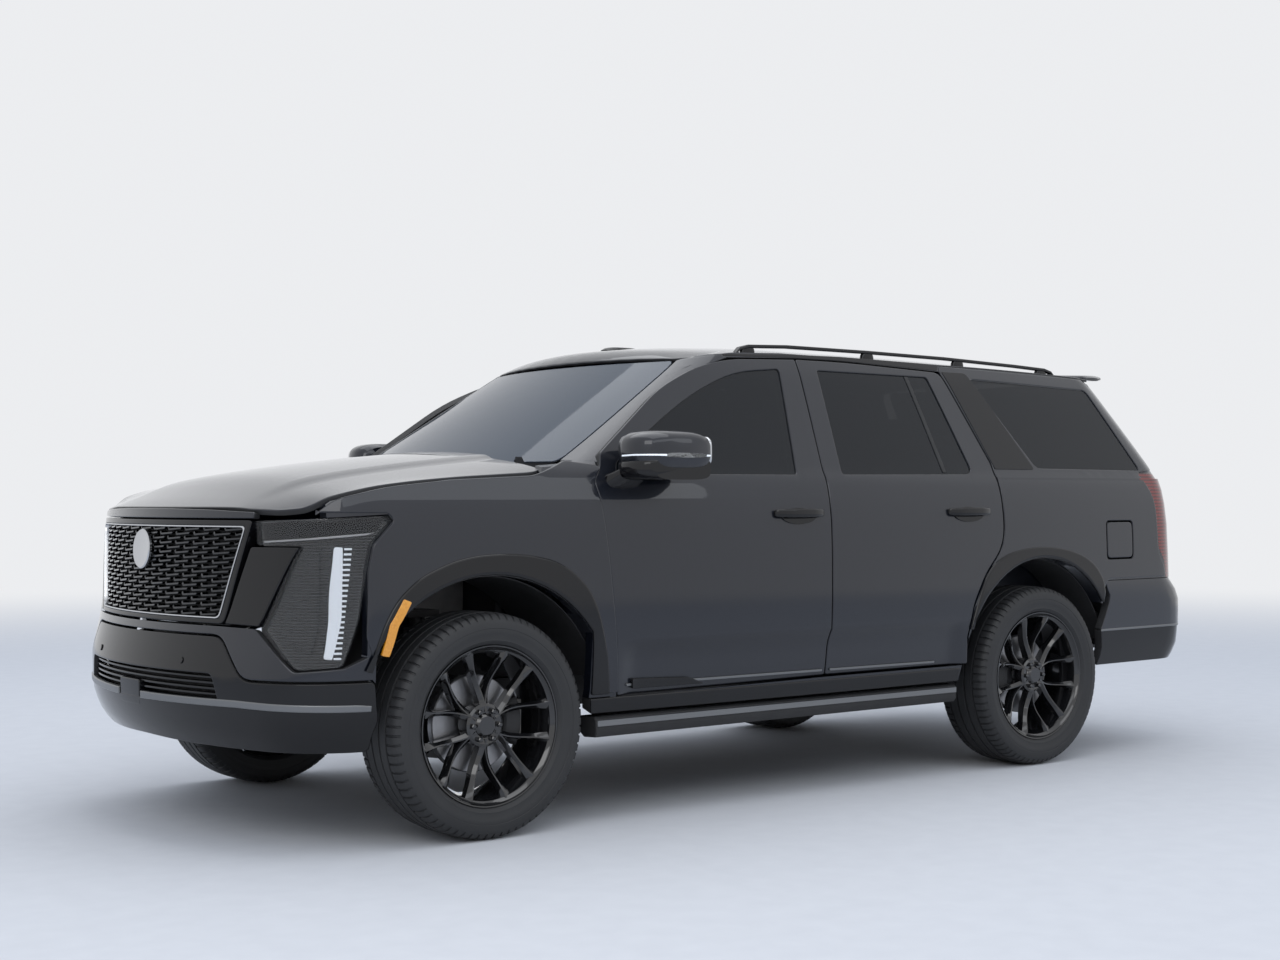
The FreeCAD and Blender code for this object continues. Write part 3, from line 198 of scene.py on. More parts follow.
world = bpy.data.worlds.new("soft_sky")
bpy.context.scene.world = world
world.use_nodes = True
tree = world.node_tree
background = tree.nodes["Background"]
way = Tone(tree, tree.nodes.new("ShaderNodeTexCoord").outputs["Generated"])
lift = way.add("ShaderNodeSeparateXYZ", None, {0: way}, 2)
sky = lift.add("ShaderNodeValToRGB", {"stops": (
    (0.0, (0.30, 0.28, 0.26, 1)), (0.05, (0.40, 0.37, 0.34, 1)), (0.13, (0.26, 0.26, 0.27, 1)),
    (0.30, (0.85, 0.94, 1.10, 1)), (1.0, (0.80, 0.88, 1.02, 1)))}, {0: lift})
tree.links.new(shown(way).mix(sky, BACKDROP).socket, background.inputs["Color"])
background.inputs["Strength"].default_value = 1.0


def lamp(name, place, target, reach, watts, colour=(1, 1, 1)):
    data = bpy.data.lights.new(name, "AREA")
    data.shape = "RECTANGLE"
    data.size, data.size_y = reach
    data.energy = watts
    data.color = colour
    item = bpy.data.objects.new(name, data)
    item.location = place
    item.rotation_euler = (Vector(target) - Vector(place)).to_track_quat("-Z", "Y").to_euler()
    collection.objects.link(item)


lamp("overhead", (0.5, 0.0, 6.5), (0, 0, 0), (9, 5), 170, (0.95, 0.97, 1.0))
lamp("side_strip", (-0.5, 9.5, 6.4), (0, 0, 1.2), (13, 2.6), 95, (0.90, 0.95, 1.0))
lamp("front_quarter", (6.0, 5.0, 4.5), (0.5, 0, 0.8), (4, 3), 80)


# The body's sheet. The pressed steel skin follows one plan outline of tangent arcs at each
# height: a shallow nose, a corner, a nearly straight side, a corner and a shallow tail.
HALF = 1.0295
NOSE = 2.691
NOSE_RADIUS = 1.9
SIDE_RADIUS = 60.0
TAIL_RADIUS = 3.0
SIDE_MIDDLE = -0.1
# height, side in from the widest, nose back, tail in, front and rear corner radius
LOWER_LEVELS = (
    (.300, .100, .131, .131, .330, .200), (.420, .045, .031, .060, .340, .200),
    (.520, .020, .002, .004, .345, .200), (.620, .010, .000, .000, .350, .200),
    (.758, .002, .027, .008, .350, .200), (.845, .000, .042, .092, .350, .200),
    (.980, .000, .046, .098, .350, .200), (1.120, .005, .053, .102, .345, .200),
    (1.220, .017, .065, .110, .335, .195), (1.290, .033, .091, .120, .320, .190),
    (1.345, .049, .131, .135, .300, .180), (1.390, .086, .175, .180, .260, .160),
    (1.430, .150, .230, .220, .220, .140), (1.470, .270, .300, .260, .200, .130),
)
UPPER_LEVELS = (
    (1.250, .035, 1.015, .120, .150, .180), (1.335, .063, 1.155, .127, .150, .180),
    (1.430, .091, 1.315, .201, .150, .180), (1.700, .197, 1.767, .413, .150, .180),
    (1.800, .239, 1.936, .491, .150, .180), (1.945, .320, 2.180, .600, .150, .180),
)


def smooth(t):
    t = min(max(t, 0.0), 1.0)
    return t * t * (3 - 2 * t)


class Curve:
    """A smooth line through a few heights, that never overshoots between them."""

    def __init__(self, points):
        self.x = [p[0] for p in points]
        self.y = [p[1] for p in points]
        steps = [(b - a) for a, b in zip(self.x, self.x[1:])]
        slopes = [(b - a) / h for a, b, h in zip(self.y, self.y[1:], steps)]
        self.slope = [slopes[0]]
        for left, right in zip(slopes, slopes[1:]):
            self.slope.append(0.0 if left * right <= 0 else 2 * left * right / (left + right))
        self.slope.append(slopes[-1])

    def at(self, x):
        if x <= self.x[0]:
            return self.y[0] + (x - self.x[0]) * self.slope[0]
        if x >= self.x[-1]:
            return self.y[-1] + (x - self.x[-1]) * self.slope[-1]
        k = max(i for i, edge in enumerate(self.x[:-1]) if edge <= x)
        h = self.x[k + 1] - self.x[k]
        t = (x - self.x[k]) / h
        return (self.y[k] * (1 + 2 * t) * (1 - t) ** 2 + self.slope[k] * h * t * (1 - t) ** 2
                + self.y[k + 1] * t * t * (3 - 2 * t) - self.slope[k + 1] * h * t * t * (1 - t))


def circles_meet(first, first_radius, second, second_radius):
    gap = second - first
    along = (first_radius ** 2 - second_radius ** 2 + gap.length_squared) / (2 * gap.length)
    away = math.sqrt(max(first_radius ** 2 - along ** 2, 0))
    unit = gap.normalized()
    return first + unit * along + Vector((-unit.y, unit.x)) * away


class Sheet:
    """A skin: place(along, height) is the point at a reach along its outline from the nose."""

    def __init__(self, levels, reference):
        self.columns = [Curve([(row[0], row[k]) for row in levels]) for k in range(1, 6)]
        self.kept = {}
        self.marks = [0.0]
        for centre, radius, start, end in self.arcs(reference):
            self.marks.append(self.marks[-1] + radius * (end - start))

    def arcs(self, height):
        key = round(height, 5)
        if key not in self.kept:
            side_in, nose_back, tail_in, front, rear = [c.at(key) for c in self.columns]
            nose = Vector((NOSE - nose_back - NOSE_RADIUS, 0))
            side = Vector((SIDE_MIDDLE, HALF - side_in - SIDE_RADIUS))
            tail = Vector((-NOSE + tail_in + TAIL_RADIUS, 0))
            ahead_corner = circles_meet(nose, NOSE_RADIUS - front, side, SIDE_RADIUS - front)
            tail_corner = circles_meet(side, SIDE_RADIUS - rear, tail, TAIL_RADIUS - rear)
            turns = [0.0]
            for start, end in ((nose, ahead_corner), (side, ahead_corner), (side, tail_corner),
                               (tail, tail_corner)):
                turns.append(math.atan2(end.y - start.y, end.x - start.x))
            turns.append(math.pi)
            centres = (nose, ahead_corner, side, tail_corner, tail)
            radii = (NOSE_RADIUS, front, SIDE_RADIUS, rear, TAIL_RADIUS)
            self.kept[key] = list(zip(centres, radii, turns, turns[1:]))
        return self.kept[key]

    def turn(self, along, height):
        arcs = self.arcs(height)
        k = 0
        while k < 4 and along > self.marks[k + 1]:
            k += 1
        centre, radius, start, end = arcs[k]
        part = (along - self.marks[k]) / (self.marks[k + 1] - self.marks[k])
        return centre, radius, start + (end - start) * part

    def place(self, along, height):
        centre, radius, angle = self.turn(abs(along), height)
        across = centre.y + radius * math.sin(angle)
        return Vector((centre.x + radius * math.cos(angle), across if along >= 0 else -across, height))

    def along(self, height, x=None, y=None):
        # How far round the outline the point with this x, or this y ahead, is
        for k, (centre, radius, start, end) in enumerate(self.arcs(height)):
            if x is not None:
                ratio = (x - centre.x) / radius
                angle = math.acos(min(max(ratio, -1.0), 1.0))
            else:
                ratio = (abs(y) - centre.y) / radius
                angle = math.asin(min(max(ratio, -1.0), 1.0))
            if angle <= end + 1e-9 or k == 4:
                angle = min(max(angle, start), end)
                part = (angle - start) / (end - start)
                reach = self.marks[k] + part * (self.marks[k + 1] - self.marks[k])
                return reach if y is None or y >= 0 else -reach

    def outward(self, along, height, step=0.004):
        ahead = self.place(along + step, height) - self.place(along - step, height)
        rise = self.place(along, height + step) - self.place(along, height - step)
        return ahead.cross(rise).normalized()


lower = Sheet(LOWER_LEVELS, 0.758)
upper = Sheet(UPPER_LEVELS, 1.430)


# The body's side. Between the belt and the roof the doors, pillars and quarter windows lean in
# on one skin, and all of its panels are pressed from flat sheet and hemmed at the edges.
SIDE_LEVELS = LOWER_LEVELS[:10] + (
    (1.335, .048, .131, .131, .300, .180), (1.355, .061, .150, .146, .300, .180),
    (1.430, .091, .200, .201, .300, .180), (1.700, .197, .300, .413, .300, .180),
    (1.800, .239, .300, .491, .300, .180), (1.945, .320, .300, .600, .300, .180))
side_sheet = Sheet(SIDE_LEVELS, 0.758)


def rounded(points, radius, steps=4):
    # A closed outline with each corner turned through a short curve
    result = []
    count = len(points)
    for k, corner in enumerate(points):
        corner = Vector(corner[:2])
        cut = corner - Vector(points[k - 1][:2])
        next_cut = Vector(points[(k + 1) % count][:2]) - corner
        reach = min(points[k][2] if len(points[k]) > 2 else radius, cut.length * 0.45,
                    next_cut.length * 0.45)
        start = corner - cut.normalized() * reach
        end = corner + next_cut.normalized() * reach
        for step in range(steps + 1):
            t = step / steps
            result.append(start * (1 - t) ** 2 + corner * 2 * t * (1 - t) + end * t * t)
    return result


def divided(points, step):
    result = []
    for start, end in zip(points, points[1:] + points[:1]):
        pieces = max(1, int((end - start).length / step))
        result += [start.lerp(end, k / pieces) for k in range(pieces)]
    return [p for k, p in enumerate(result) if (p - result[k - 1]).length > 1e-5]


def turned_area(points):
    return sum(a.x * b.y - b.x * a.y for a, b in zip(points, points[1:] + points[:1])) / 2


def drawn_in(points, distance):
    # The outline moved in by a distance, to the left of its own direction
    result = []
    count = len(points)
    for k, point in enumerate(points):
        before = (point - points[k - 1]).normalized()
        after = (points[(k + 1) % count] - point).normalized()
        a = Vector((-before.y, before.x))
        b = Vector((-after.y, after.x))
        result.append(point + (a + b) * (distance / max(1 + a.dot(b), 0.35)))
    return result


def filled(loops, step, rows=()):
    # Triangles that fill the loops, holes left open, over a grid of points
    edge_points = [p for loop in loops for p in loop]
    starts = [(a, b) for loop in loops for a, b in zip(loop, loop[1:] + loop[:1])]
    left = min(p.x for p in edge_points)
    right = max(p.x for p in edge_points)
    low = min(p.y for p in edge_points)
    high = max(p.y for p in edge_points)
    heights = [low + step * (k + 0.5) for k in range(int((high - low) / step) + 1)]
    heights = [h for h in heights if all(abs(h - row) > step * 0.4 for row in rows)]
    heights += [row for row in rows if low < row < high]
    inside = []
    for k, height in enumerate(heights):
        crossings = sorted(a.x + (height - a.y) * (b.x - a.x) / (b.y - a.y)
                           for a, b in starts if (a.y > height) != (b.y > height))
        for enter, leave in zip(crossings[::2], crossings[1::2]):
            pieces = int((leave - enter) / step)
            for i in range(1, pieces):
                x = enter + (leave - enter) * (i + (0.25 if k % 2 else -0.25)) / pieces
                point = Vector((x, height))
                if all((point - a).length > step * 0.42 for a, _ in starts
                       if abs(a.y - height) < step and abs(a.x - x) < step):
                    inside.append(point)
    links = []
    first = 0
    for loop in loops:
        links += [(first + k, first + (k + 1) % len(loop)) for k in range(len(loop))]
        first += len(loop)
    spots, _, triangles, sources, _, _ = delaunay_2d_cdt(
        edge_points + inside, links, [], 2, 1e-7)
    where = {}
    for index, source in enumerate(sources):
        for old in source:
            where[old] = index
    border = [where[k] for k in range(len(edge_points))]
    rim = set(border)

    def within(triangle):
        # A triangle between edge points only is kept where the loops wind round it
        if not all(i in rim for i in triangle):
            return True
        x = sum(spots[i].x for i in triangle) / 3
        y = sum(spots[i].y for i in triangle) / 3
        return sum(1 for a, b in starts if (a.y > y) != (b.y > y)
                   and x < a.x + (y - a.y) * (b.x - a.x) / (b.y - a.y)) % 2 == 1

    triangles = [t if turned_area([spots[i] for i in t]) > 0 else t[::-1] for t in triangles if within(t)]
    return spots, triangles, border


def shape(name, spots, faces, finishes, marks=None, sharp=38):
    # A piece's mesh in the vehicle's own frame, smooth where it turns gently
    mesh = bpy.data.meshes.new(name)
    mesh.from_pydata([tuple(s) for s in spots], [], faces)
    for item in finishes:
        mesh.materials.append(item)
    if marks:
        mesh.polygons.foreach_set("material_index", marks)
    mesh.polygons.foreach_set("use_smooth", [True] * len(mesh.polygons))
    mesh.set_sharp_from_angle(angle=math.radians(sharp))
    mesh.validate()
    item = bpy.data.objects.new(name, mesh)
    collection.objects.link(item)
    return item


def other_side(item):
    # The same piece for the right side
    name = item.name.replace("_left", "_right")
    mesh = item.data.copy()
    mesh.name = name
    mesh.transform(Matrix.Scale(-1, 4, (0, 1, 0)))
    mesh.flip_normals()
    twin = bpy.data.objects.new(name, mesh)
    collection.objects.link(twin)
    return twin


# The radius of a panel's rolled edge, and the flat border beside it as a share of that
ROLL = 0.0035
GUARD = 0.7


def pressed(name, sheet, outline, finishes, holes=(), wall=0.02, inner=None, step=0.03, rows=(),
            corner=0.02, gap=0.003, roll=ROLL, proud=0.0, flat=False):
    """A panel pressed to the sheet's form: its skin, rolled edges, flanges and inner side.

    outline and holes are (x, height) points; with flat they are (along, height) already."""
    loops = []
    for k, points in enumerate((outline,) + tuple(holes)):
        loop = divided(rounded(points, corner), step * 0.7)
        if not flat:
            loop = [Vector((sheet.along(p.y, x=p.x), p.y)) for p in loop]
        if (turned_area(loop) > 0) != (k == 0):
            loop.reverse()
        loops.append(drawn_in(loop, gap))
    turns = [math.radians(a) for a in (0, 30, 60, 90)]
    rings = [(roll * (1 + GUARD), 0.0)]
    rings += [(roll * (1 - math.sin(a)), roll * (1 - math.cos(a))) for a in turns]
    edge = [drawn_in(loop, rings[0][0]) for loop in loops]
    points, triangles, border = filled(edge, step, rows)

    def placed(point, depth):
        base = sheet.place(point.x, point.y)
        outward = sheet.outward(point.x, point.y)
        if depth is None and inner:
            return inner(base, outward)
        return base + outward * (proud - (wall if depth is None else depth))

    spots = [placed(p, 0.0) for p in points]
    faces = list(triangles)
    marks = [0] * len(faces)
    back = len(spots)
    spots += [placed(p, None) for p in points]
    faces += [tuple(back + i for i in reversed(t)) for t in triangles]
    marks += [1] * len(triangles)
    first = 0
    for loop in loops:
        count = len(loop)
        last = border[first:first + count]
        first += count
        under = [back + i for i in last]
        for distance, depth in rings[1:] + [(0.0, None)]:
            ring = [len(spots) + k for k in range(count)]
            spots += [placed(p, depth) for p in drawn_in(loop, distance)]
            faces += [(last[k], ring[k], ring[(k + 1) % count], last[(k + 1) % count])
                      for k in range(count)]
            marks += [0 if depth is not None else 1] * count
            last = ring
        faces += [(last[k], under[k], under[(k + 1) % count], last[(k + 1) % count])
                  for k in range(count)]
        marks += [1] * count
    finishes = list(finishes) + [finishes[0]] * (2 - len(finishes))
    return shape(name, spots, faces, finishes, marks)


def given(item, body, slot, *replaced):
    # The piece rides on its body and stands for its construction solids
    if replaced:
        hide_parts(*replaced)
    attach(item, body)


def both_sides(item, body, slot, *replaced):
    # The left piece and its twin ride on one body, and the left one stands for the solids
    given(other_side(item), body, slot)
    given(item, body, slot, *replaced)


# Body paint: a deep blue-black metallic base sprayed over primed steel and aluminium, under a
# clear coat that has its faint orange peel.
paint, shader, place = finish("body_paint", (0.012, 0.015, 0.023), 0.30, Metallic=0.5,
                              Specular_IOR_Level=0.3, Coat_Weight=1.0, Coat_Roughness=0.02)
flakes = cells(place, 1400.0, 1)
sparkle = flakes.add("ShaderNodeRGBToBW", None, {0: flakes})
feed(shader, "Base Color", sparkle.mix((0.004, 0.005, 0.009, 1), (0.010, 0.013, 0.022, 1)))
feed(shader, "Roughness", sparkle * 0.12 + 0.32)
peel = noise(place, 160.0, 2.0)
roughen(shader, peel, 0.00004)

# Gloss black trim: injection-moulded plastic with a hard coat, clipped on as pillar covers,
# arch mouldings and the grille's surround.
gloss, shader, place = finish("gloss_black", (0.005, 0.005, 0.006), 0.12, Specular_IOR_Level=0.42)
ripple = noise(place, 90.0, 2.0)
feed(shader, "Roughness", ripple * 0.08 + 0.06)
roughen(shader, ripple, 0.00005)

# Grained black plastic: moulded in a mould with an etched grain, for liners, the undersides of
# panels and the dashboard.
grained, shader, place = finish("grained_black", (0.018, 0.018, 0.019), 0.62)
grain = cells(place, 900.0)
cloud = noise(place, 14.0, 5.0)
feed(shader, "Base Color", cloud.mix((0.013, 0.013, 0.014, 1), (0.026, 0.026, 0.027, 1)))
roughen(shader, grain, 0.0003)


# Doors: a steel skin hemmed over a deep leaf, with the window frame in one piece. The skin
# turns in sharply below the waist, in a scallop over the sill, and fades out at the arches.
WAIST = 0.700
SCALLOP_LOW = 0.610
SCALLOP = 0.024
SCALLOP_FRONT = 1.15
SCALLOP_REAR = -0.86
INSIDE = 0.8645
FRAME_DEPTH = 0.040
FRAME_FOOT = 1.375
inner_side = Curve([(0.30, INSIDE), (1.29, INSIDE), (1.345, INSIDE - 0.015), (1.40, INSIDE - 0.030)])
AXLES = (1.716, -1.355)
WHEEL_HEIGHT = 0.417


class Scalloped(Sheet):
    """The side with its waist crease."""

    def place(self, along, height):
        base = super().place(along, height)
        if height < WAIST and SCALLOP_REAR < base.x < SCALLOP_FRONT:
            fade = smooth((SCALLOP_FRONT - base.x) / 0.12) * smooth((base.x - SCALLOP_REAR) / 0.14)
            down = min((WAIST - height) / (WAIST - SCALLOP_LOW), 1.0)
            depth = SCALLOP * (1 - (1 - down) ** 2) * fade
            base.y -= math.copysign(depth, base.y)
        return base


def leaf_inside(base, outward):
    # The inner side of a leaf: deep below the belt, thin round the window
    if base.z > FRAME_FOOT:
        return base - outward * FRAME_DEPTH
    return Vector((base.x, math.copysign(inner_side.at(base.z), base.y), base.z))


door_sheet = Scalloped(SIDE_LEVELS, 0.758)
CREASES = (1.254, 1.262, 1.246, WAIST + 0.004, WAIST, WAIST - 0.006, WAIST - 0.014, WAIST - 0.024)
FRONT_DOOR = (
    (1.137, .487), (1.155, .705), (1.219, 1.250), (1.238, 1.322, .03), (1.188, 1.368, .03),
    (1.171, 1.431), (.983, 1.568, .3), (.801, 1.702, .3), (.572, 1.801, .3), (.377, 1.843, .2),
    (-.012, 1.857), (.014, 1.340, .1), (.022, 1.056, .2), (.022, .695), (.027, .500),
)
REAR_DOOR = (
    (.027, .500), (.022, .695), (.022, 1.056, .2), (.014, 1.340, .1), (-.012, 1.857),
    (-.300, 1.857, .2), (-.913, 1.835, .04), (-1.078, 1.408), (-1.084, 1.271, .05),
    (-1.077, 1.034, .1), (-.943, .900, .15), (-.868, .760), (-.835, .624), (-.845, .500),
)
FRONT_PANE = (
    (.172, 1.354), (.108, 1.804), (.369, 1.782, .2), (.636, 1.677, .3), (.876, 1.538, .3),
    (1.095, 1.392), (1.110, 1.352),
)
REAR_PANE = ((-.098, 1.356), (-.121, 1.807), (-.815, 1.804), (-.927, 1.383), (-.900, 1.362, .06))


def one_each_side(item, body, slot, *replaced):
    # The left piece and its twin each ride on their own side's body
    for piece, hand in ((item, "_left"), (other_side(item), "_right")):
        given(piece, body + hand, slot, *[name + hand for name in replaced])


for end, outline, pane in (("front", FRONT_DOOR, FRONT_PANE), ("rear", REAR_DOOR, REAR_PANE)):
    leaf = pressed(end + "_door_leaf_left", door_sheet, outline, [paint, grained], holes=[pane],
                   inner=leaf_inside, rows=CREASES, corner=0.012, step=0.026)
    one_each_side(leaf, "door_" + end, "body_paint", end + "_door")

# Window glass: tempered panes, tinted dark at the sides and back and clearer in front, each set
# a little behind its frame. A black divider splits the rear door's pane.
SIDE_OPACITY = 0.90
SCREEN_OPACITY = 0.84
tint, shader, place = finish("side_glass", (0.004, 0.006, 0.009), 0.02, Specular_IOR_Level=0.38)
wave = noise(place, 2.0, 1.0)
shader.inputs["Alpha"].default_value = SIDE_OPACITY
feed(shader, "Roughness", wave * 0.02 + 0.01)
clear, shader, place = finish("screen_glass", (0.050, 0.066, 0.088), 0.04, Specular_IOR_Level=0.35)
wave = noise(place, 2.0, 1.0)
shader.inputs["Alpha"].default_value = SCREEN_OPACITY
feed(shader, "Roughness", wave * 0.02 + 0.03)
PANE_DEPTH = 0.007
PANE_WALL = 0.004
for end, pane in (("front", FRONT_PANE), ("rear", REAR_PANE)):
    glass = pressed(end + "_door_pane_left", side_sheet, pane, [tint], wall=PANE_DEPTH + PANE_WALL,
                    corner=0.012, step=0.05, gap=-0.004, roll=0.0005, proud=-PANE_DEPTH)
    one_each_side(glass, "door_" + end, "dark_glass", end + "_door_glass")
DIVIDER = ((-.690, 1.806), (-.668, 1.806), (-.738, 1.366), (-.760, 1.366))
bar = pressed("rear_pane_divider_left", side_sheet, DIVIDER, [grained], wall=0.006, corner=0.002,
              step=0.05, gap=0.0, roll=0.002, proud=-0.003)
one_each_side(bar, "door_rear", "black_plastic")

# Body side: one pressing from the rear door to the tail lamp, with the wheel arch, the fuel
# door and the quarter window cut in it.
ARCH = 0.552


def arc(axle, radius, start, end, steps=14):
    # Points on a wheel arch, angles in degrees from straight ahead
    return [(axle + radius * math.cos(math.radians(start + (end - start) * k / steps)),
             WHEEL_HEIGHT + radius * math.sin(math.radians(start + (end - start) * k / steps)), 0.002)
            for k in range(steps + 1)]


QUARTER_PANE = ((-1.107, 1.806, .03), (-1.970, 1.783, .03), (-2.206, 1.388), (-1.394, 1.392, .03))
FUEL_DOOR = ((-1.840, 1.136), (-1.840, .953), (-2.050, .953), (-2.050, 1.136))
QUARTER = [
    (-1.084, 1.271, .05), (-1.078, 1.408), (-.913, 1.835, .04), (-.930, 1.866), (-1.906, 1.846),
    (-2.052, 1.822), (-2.290, 1.480), (-2.338, 1.384), (-2.186, 1.372), (-2.262, 1.252, .2),
    (-2.262, .985, .1), (-2.320, .900), (-2.330, .853), (-1.852, .853), (-1.815, .800),
    (-1.800, .740),
]
QUARTER += arc(AXLES[1], ARCH + 0.004, 36, 142)[::-1] + [
    (-.868, .760), (-.943, .900, .15), (-1.077, 1.034, .1)]
panel = pressed("quarter_skin_left", side_sheet, QUARTER, [paint, grained],
                holes=[QUARTER_PANE, FUEL_DOOR], wall=0.007, proud=0.003, rows=CREASES[:3],
                corner=0.02, step=0.028)
both_sides(panel, "body", "body_paint")
lid = pressed("fuel_door_skin", side_sheet, FUEL_DOOR, [paint, grained], wall=0.006, proud=0.003,
              corner=0.03, step=0.03, gap=0.005)
given(lid, "fuel_lid", "body_paint", "fuel_door")
glass = pressed("quarter_pane_left", side_sheet, QUARTER_PANE, [tint], wall=PANE_DEPTH + PANE_WALL,
                corner=0.02, step=0.06, gap=-0.004, roll=0.0005, proud=-0.002)
both_sides(glass, "body", "dark_glass", "quarter_glass")

# Front fenders: one steel pressing on each side, bolted on, from the door's edge to the lamp,
# over the arch and up to the hood's edge.
FENDER = [
    (1.131, .500), (1.149, .705), (1.213, 1.250), (1.232, 1.322, .03), (1.182, 1.366, .03),
    (1.200, 1.385), (1.340, 1.400), (1.472, 1.352), (1.515, 1.340, .1), (1.870, 1.323),
    (2.143, 1.297, .2), (2.321, 1.255, .1), (2.385, 1.200), (2.138, 1.198), (2.121, 1.174),
    (2.205, 1.090), (2.225, 1.000), (2.232, .760), (2.205, .690),
]
FENDER += arc(AXLES[0], ARCH + 0.004, 30, 145) + [(1.262, .500)]
panel = pressed("fender_skin_left", lower, FENDER, [paint, grained], wall=0.007, proud=0.003,
                rows=CREASES[:3], corner=0.015, step=0.026)
both_sides(panel, "body", "body_paint")


# Hood: a crowned aluminium lid with a raised middle between two soft creases. Its edge meets
# the fenders along a falling line and turns down over the lamps.
HOOD_RADIUS = 7.0
DOME = 0.012
DOME_EDGE = 0.60
DOME_CREASE = 0.05
DOME_FADE = 0.3
HOOD_TIP = 2.50
hood_line = Curve([(1.10, 1.460), (1.50, 1.430), (1.90, 1.388), (2.25, 1.334), (2.45, 1.270),
                   (2.568, 1.222), (2.66, 1.175)])
edge_height = Curve([(1.30, 1.372), (1.48, 1.352), (1.87, 1.329), (2.143, 1.302), (2.325, 1.262),
                     (2.42, 1.214), (2.50, 1.206), (2.60, 1.200)])


class Lid:
    """A lid seen from above: place(x, y) lies on the hood."""

    def __init__(self):
        self.widths = {}

    def half_width(self, x):
        key = round(x, 3)
        if key not in self.widths:
            height = edge_height.at(key)
            self.widths[key] = lower.place(lower.along(height, x=key), height).y
        return self.widths[key]

    def crown(self, x, y):
        dome = smooth((DOME_EDGE - abs(y)) / DOME_CREASE) * smooth((HOOD_TIP - x) / DOME_FADE)
        return hood_line.at(x) - y * y / (2 * HOOD_RADIUS) + DOME * dome

    def place(self, x, y):
        half = self.half_width(min(x, HOOD_TIP))
        out = min(abs(y) / half, 1.05)
        fall = edge_height.at(x) - self.crown(x, half)
        return Vector((x, y, self.crown(x, y) + fall * out ** 8))

    def outward(self, x, y, step=0.004):
        ahead = self.place(x + step, y) - self.place(x - step, y)
        aside = self.place(x, y + step) - self.place(x, y - step)
        return ahead.cross(aside).normalized()


lid = Lid()
HOOD_REAR = 1.447
HOOD_FRONT = 2.568
HOOD_BOW = 3.04
HOOD_CORNER = 0.92
HOOD_NOSE_HALF = 0.66
HOOD_SIDE_PLACES = (1.50, 1.70, 1.90, 2.10, 2.25, 2.325, 2.40, 2.46)


def hood_outline():
    side = [(x, lid.half_width(x) - 0.004, 0.03) for x in HOOD_SIDE_PLACES]
    front = []
    for k in range(-6, 7):
        y = HOOD_NOSE_HALF * k / 6
        front.append((HOOD_FRONT - HOOD_BOW + math.sqrt(HOOD_BOW ** 2 - y * y), y, 0.04))
    right = [(x, -y, r) for x, y, r in side]
    rear = [(HOOD_REAR, 0.0, 0.1), (HOOD_REAR, -HOOD_CORNER, .04)]
    return rear + right + front + side[::-1] + [(HOOD_REAR, HOOD_CORNER, .04)]


panel = pressed("hood_skin", lid, hood_outline(), [paint, grained], wall=0.022, step=0.035,
                gap=0.0, corner=0.03, flat=True)
given(panel, "hood_lid", "body_paint", "hood")


# Nose: moulded covers clipped to the front bumper's bar. Each part is placed by its distance
# round the nose from its middle.
def ahead_at(y, z, reach=0.02):
    return lower.along(z, y=y), z, reach


def side_at(x, z, reach=0.02):
    return lower.along(z, x=x), z, reach


def right_of(points):
    return [(-point[0],) + tuple(point[1:]) for point in reversed(points)]


def on_nose(name, outline, finishes, slot, **settings):
    item = pressed(name, lower, outline, finishes, flat=True, **settings)
    given(item, "body", slot)
    return item


def on_both(name, outline, finishes, slot, **settings):
    item = on_nose(name + "_left", outline, finishes, slot, **settings)
    given(other_side(item), "body", slot)


# Bright trim: rolled stainless strip, polished and lightly brushed. Satin trim is the same strip
# with a darker, duller coat.
bright, shader, place = finish("bright_trim", (0.55, 0.56, 0.58), 0.22, Metallic=1.0)
brush = noise(place, 70.0, 3.0)
feed(shader, "Roughness", brush * 0.12 + 0.16)

satin, shader, place = finish("satin_trim", (0.20, 0.205, 0.21), 0.32, Metallic=0.9)
brush = noise(place, 120.0, 3.0)
feed(shader, "Roughness", brush * 0.15 + 0.24)

# Front cover: a body-colour band over the grille, a bar below it that drops under the lamps,
# and the black lower cover with its intake, blank radar block and bright chin strips.
BAND_TOP = ((.672, 1.206), (.45, 1.215), (.2, 1.219), (0.0, 1.220), (-.2, 1.219), (-.45, 1.215),
            (-.672, 1.206))
HEADER_BAND = [ahead_at(-y, 1.182, .004) for y, _ in BAND_TOP]
HEADER_BAND += [ahead_at(y, z, .01) for y, z in BAND_TOP]
on_nose("header_band", HEADER_BAND, [paint, grained], "body_paint", wall=0.03, step=0.03, gap=0.001)
BAR_FOOT = [side_at(2.190, .612), side_at(2.30, .613), ahead_at(.690, .615, .04),
            ahead_at(.552, .767, .04)]
BAR_TOP = [ahead_at(.548, .800, .01), ahead_at(.705, .796, .01), side_at(2.456, .650, .01),
           side_at(2.309, .660, .01), side_at(2.215, .700, .01)]
COVER = BAR_FOOT + [ahead_at(y, .767, .002) for y in (.3, 0, -.3)] + right_of(BAR_FOOT)
COVER += right_of(BAR_TOP) + [ahead_at(y, .800, .002) for y in (-.3, 0, .3)] + BAR_TOP
on_nose("front_cover", COVER, [paint, grained], "body_paint", wall=0.03, step=0.035, gap=0.002)
LOW_EDGE = [side_at(2.176, .352, .03), side_at(2.165, .470), side_at(2.190, .608),
            side_at(2.30, .609), ahead_at(.690, .611, .04), ahead_at(.552, .763, .04)]
LOW_COVER = LOW_EDGE + [ahead_at(y, .763, .002) for y in (.3, 0, -.3)] + right_of(LOW_EDGE)
LOW_COVER += [ahead_at(-.36, .358, .05), ahead_at(0, .366, .05), ahead_at(.36, .358, .05)]
INTAKE = [ahead_at(y, z, .02) for y, z in ((-.54, .628), (.54, .628), (.575, .52), (-.575, .52))]
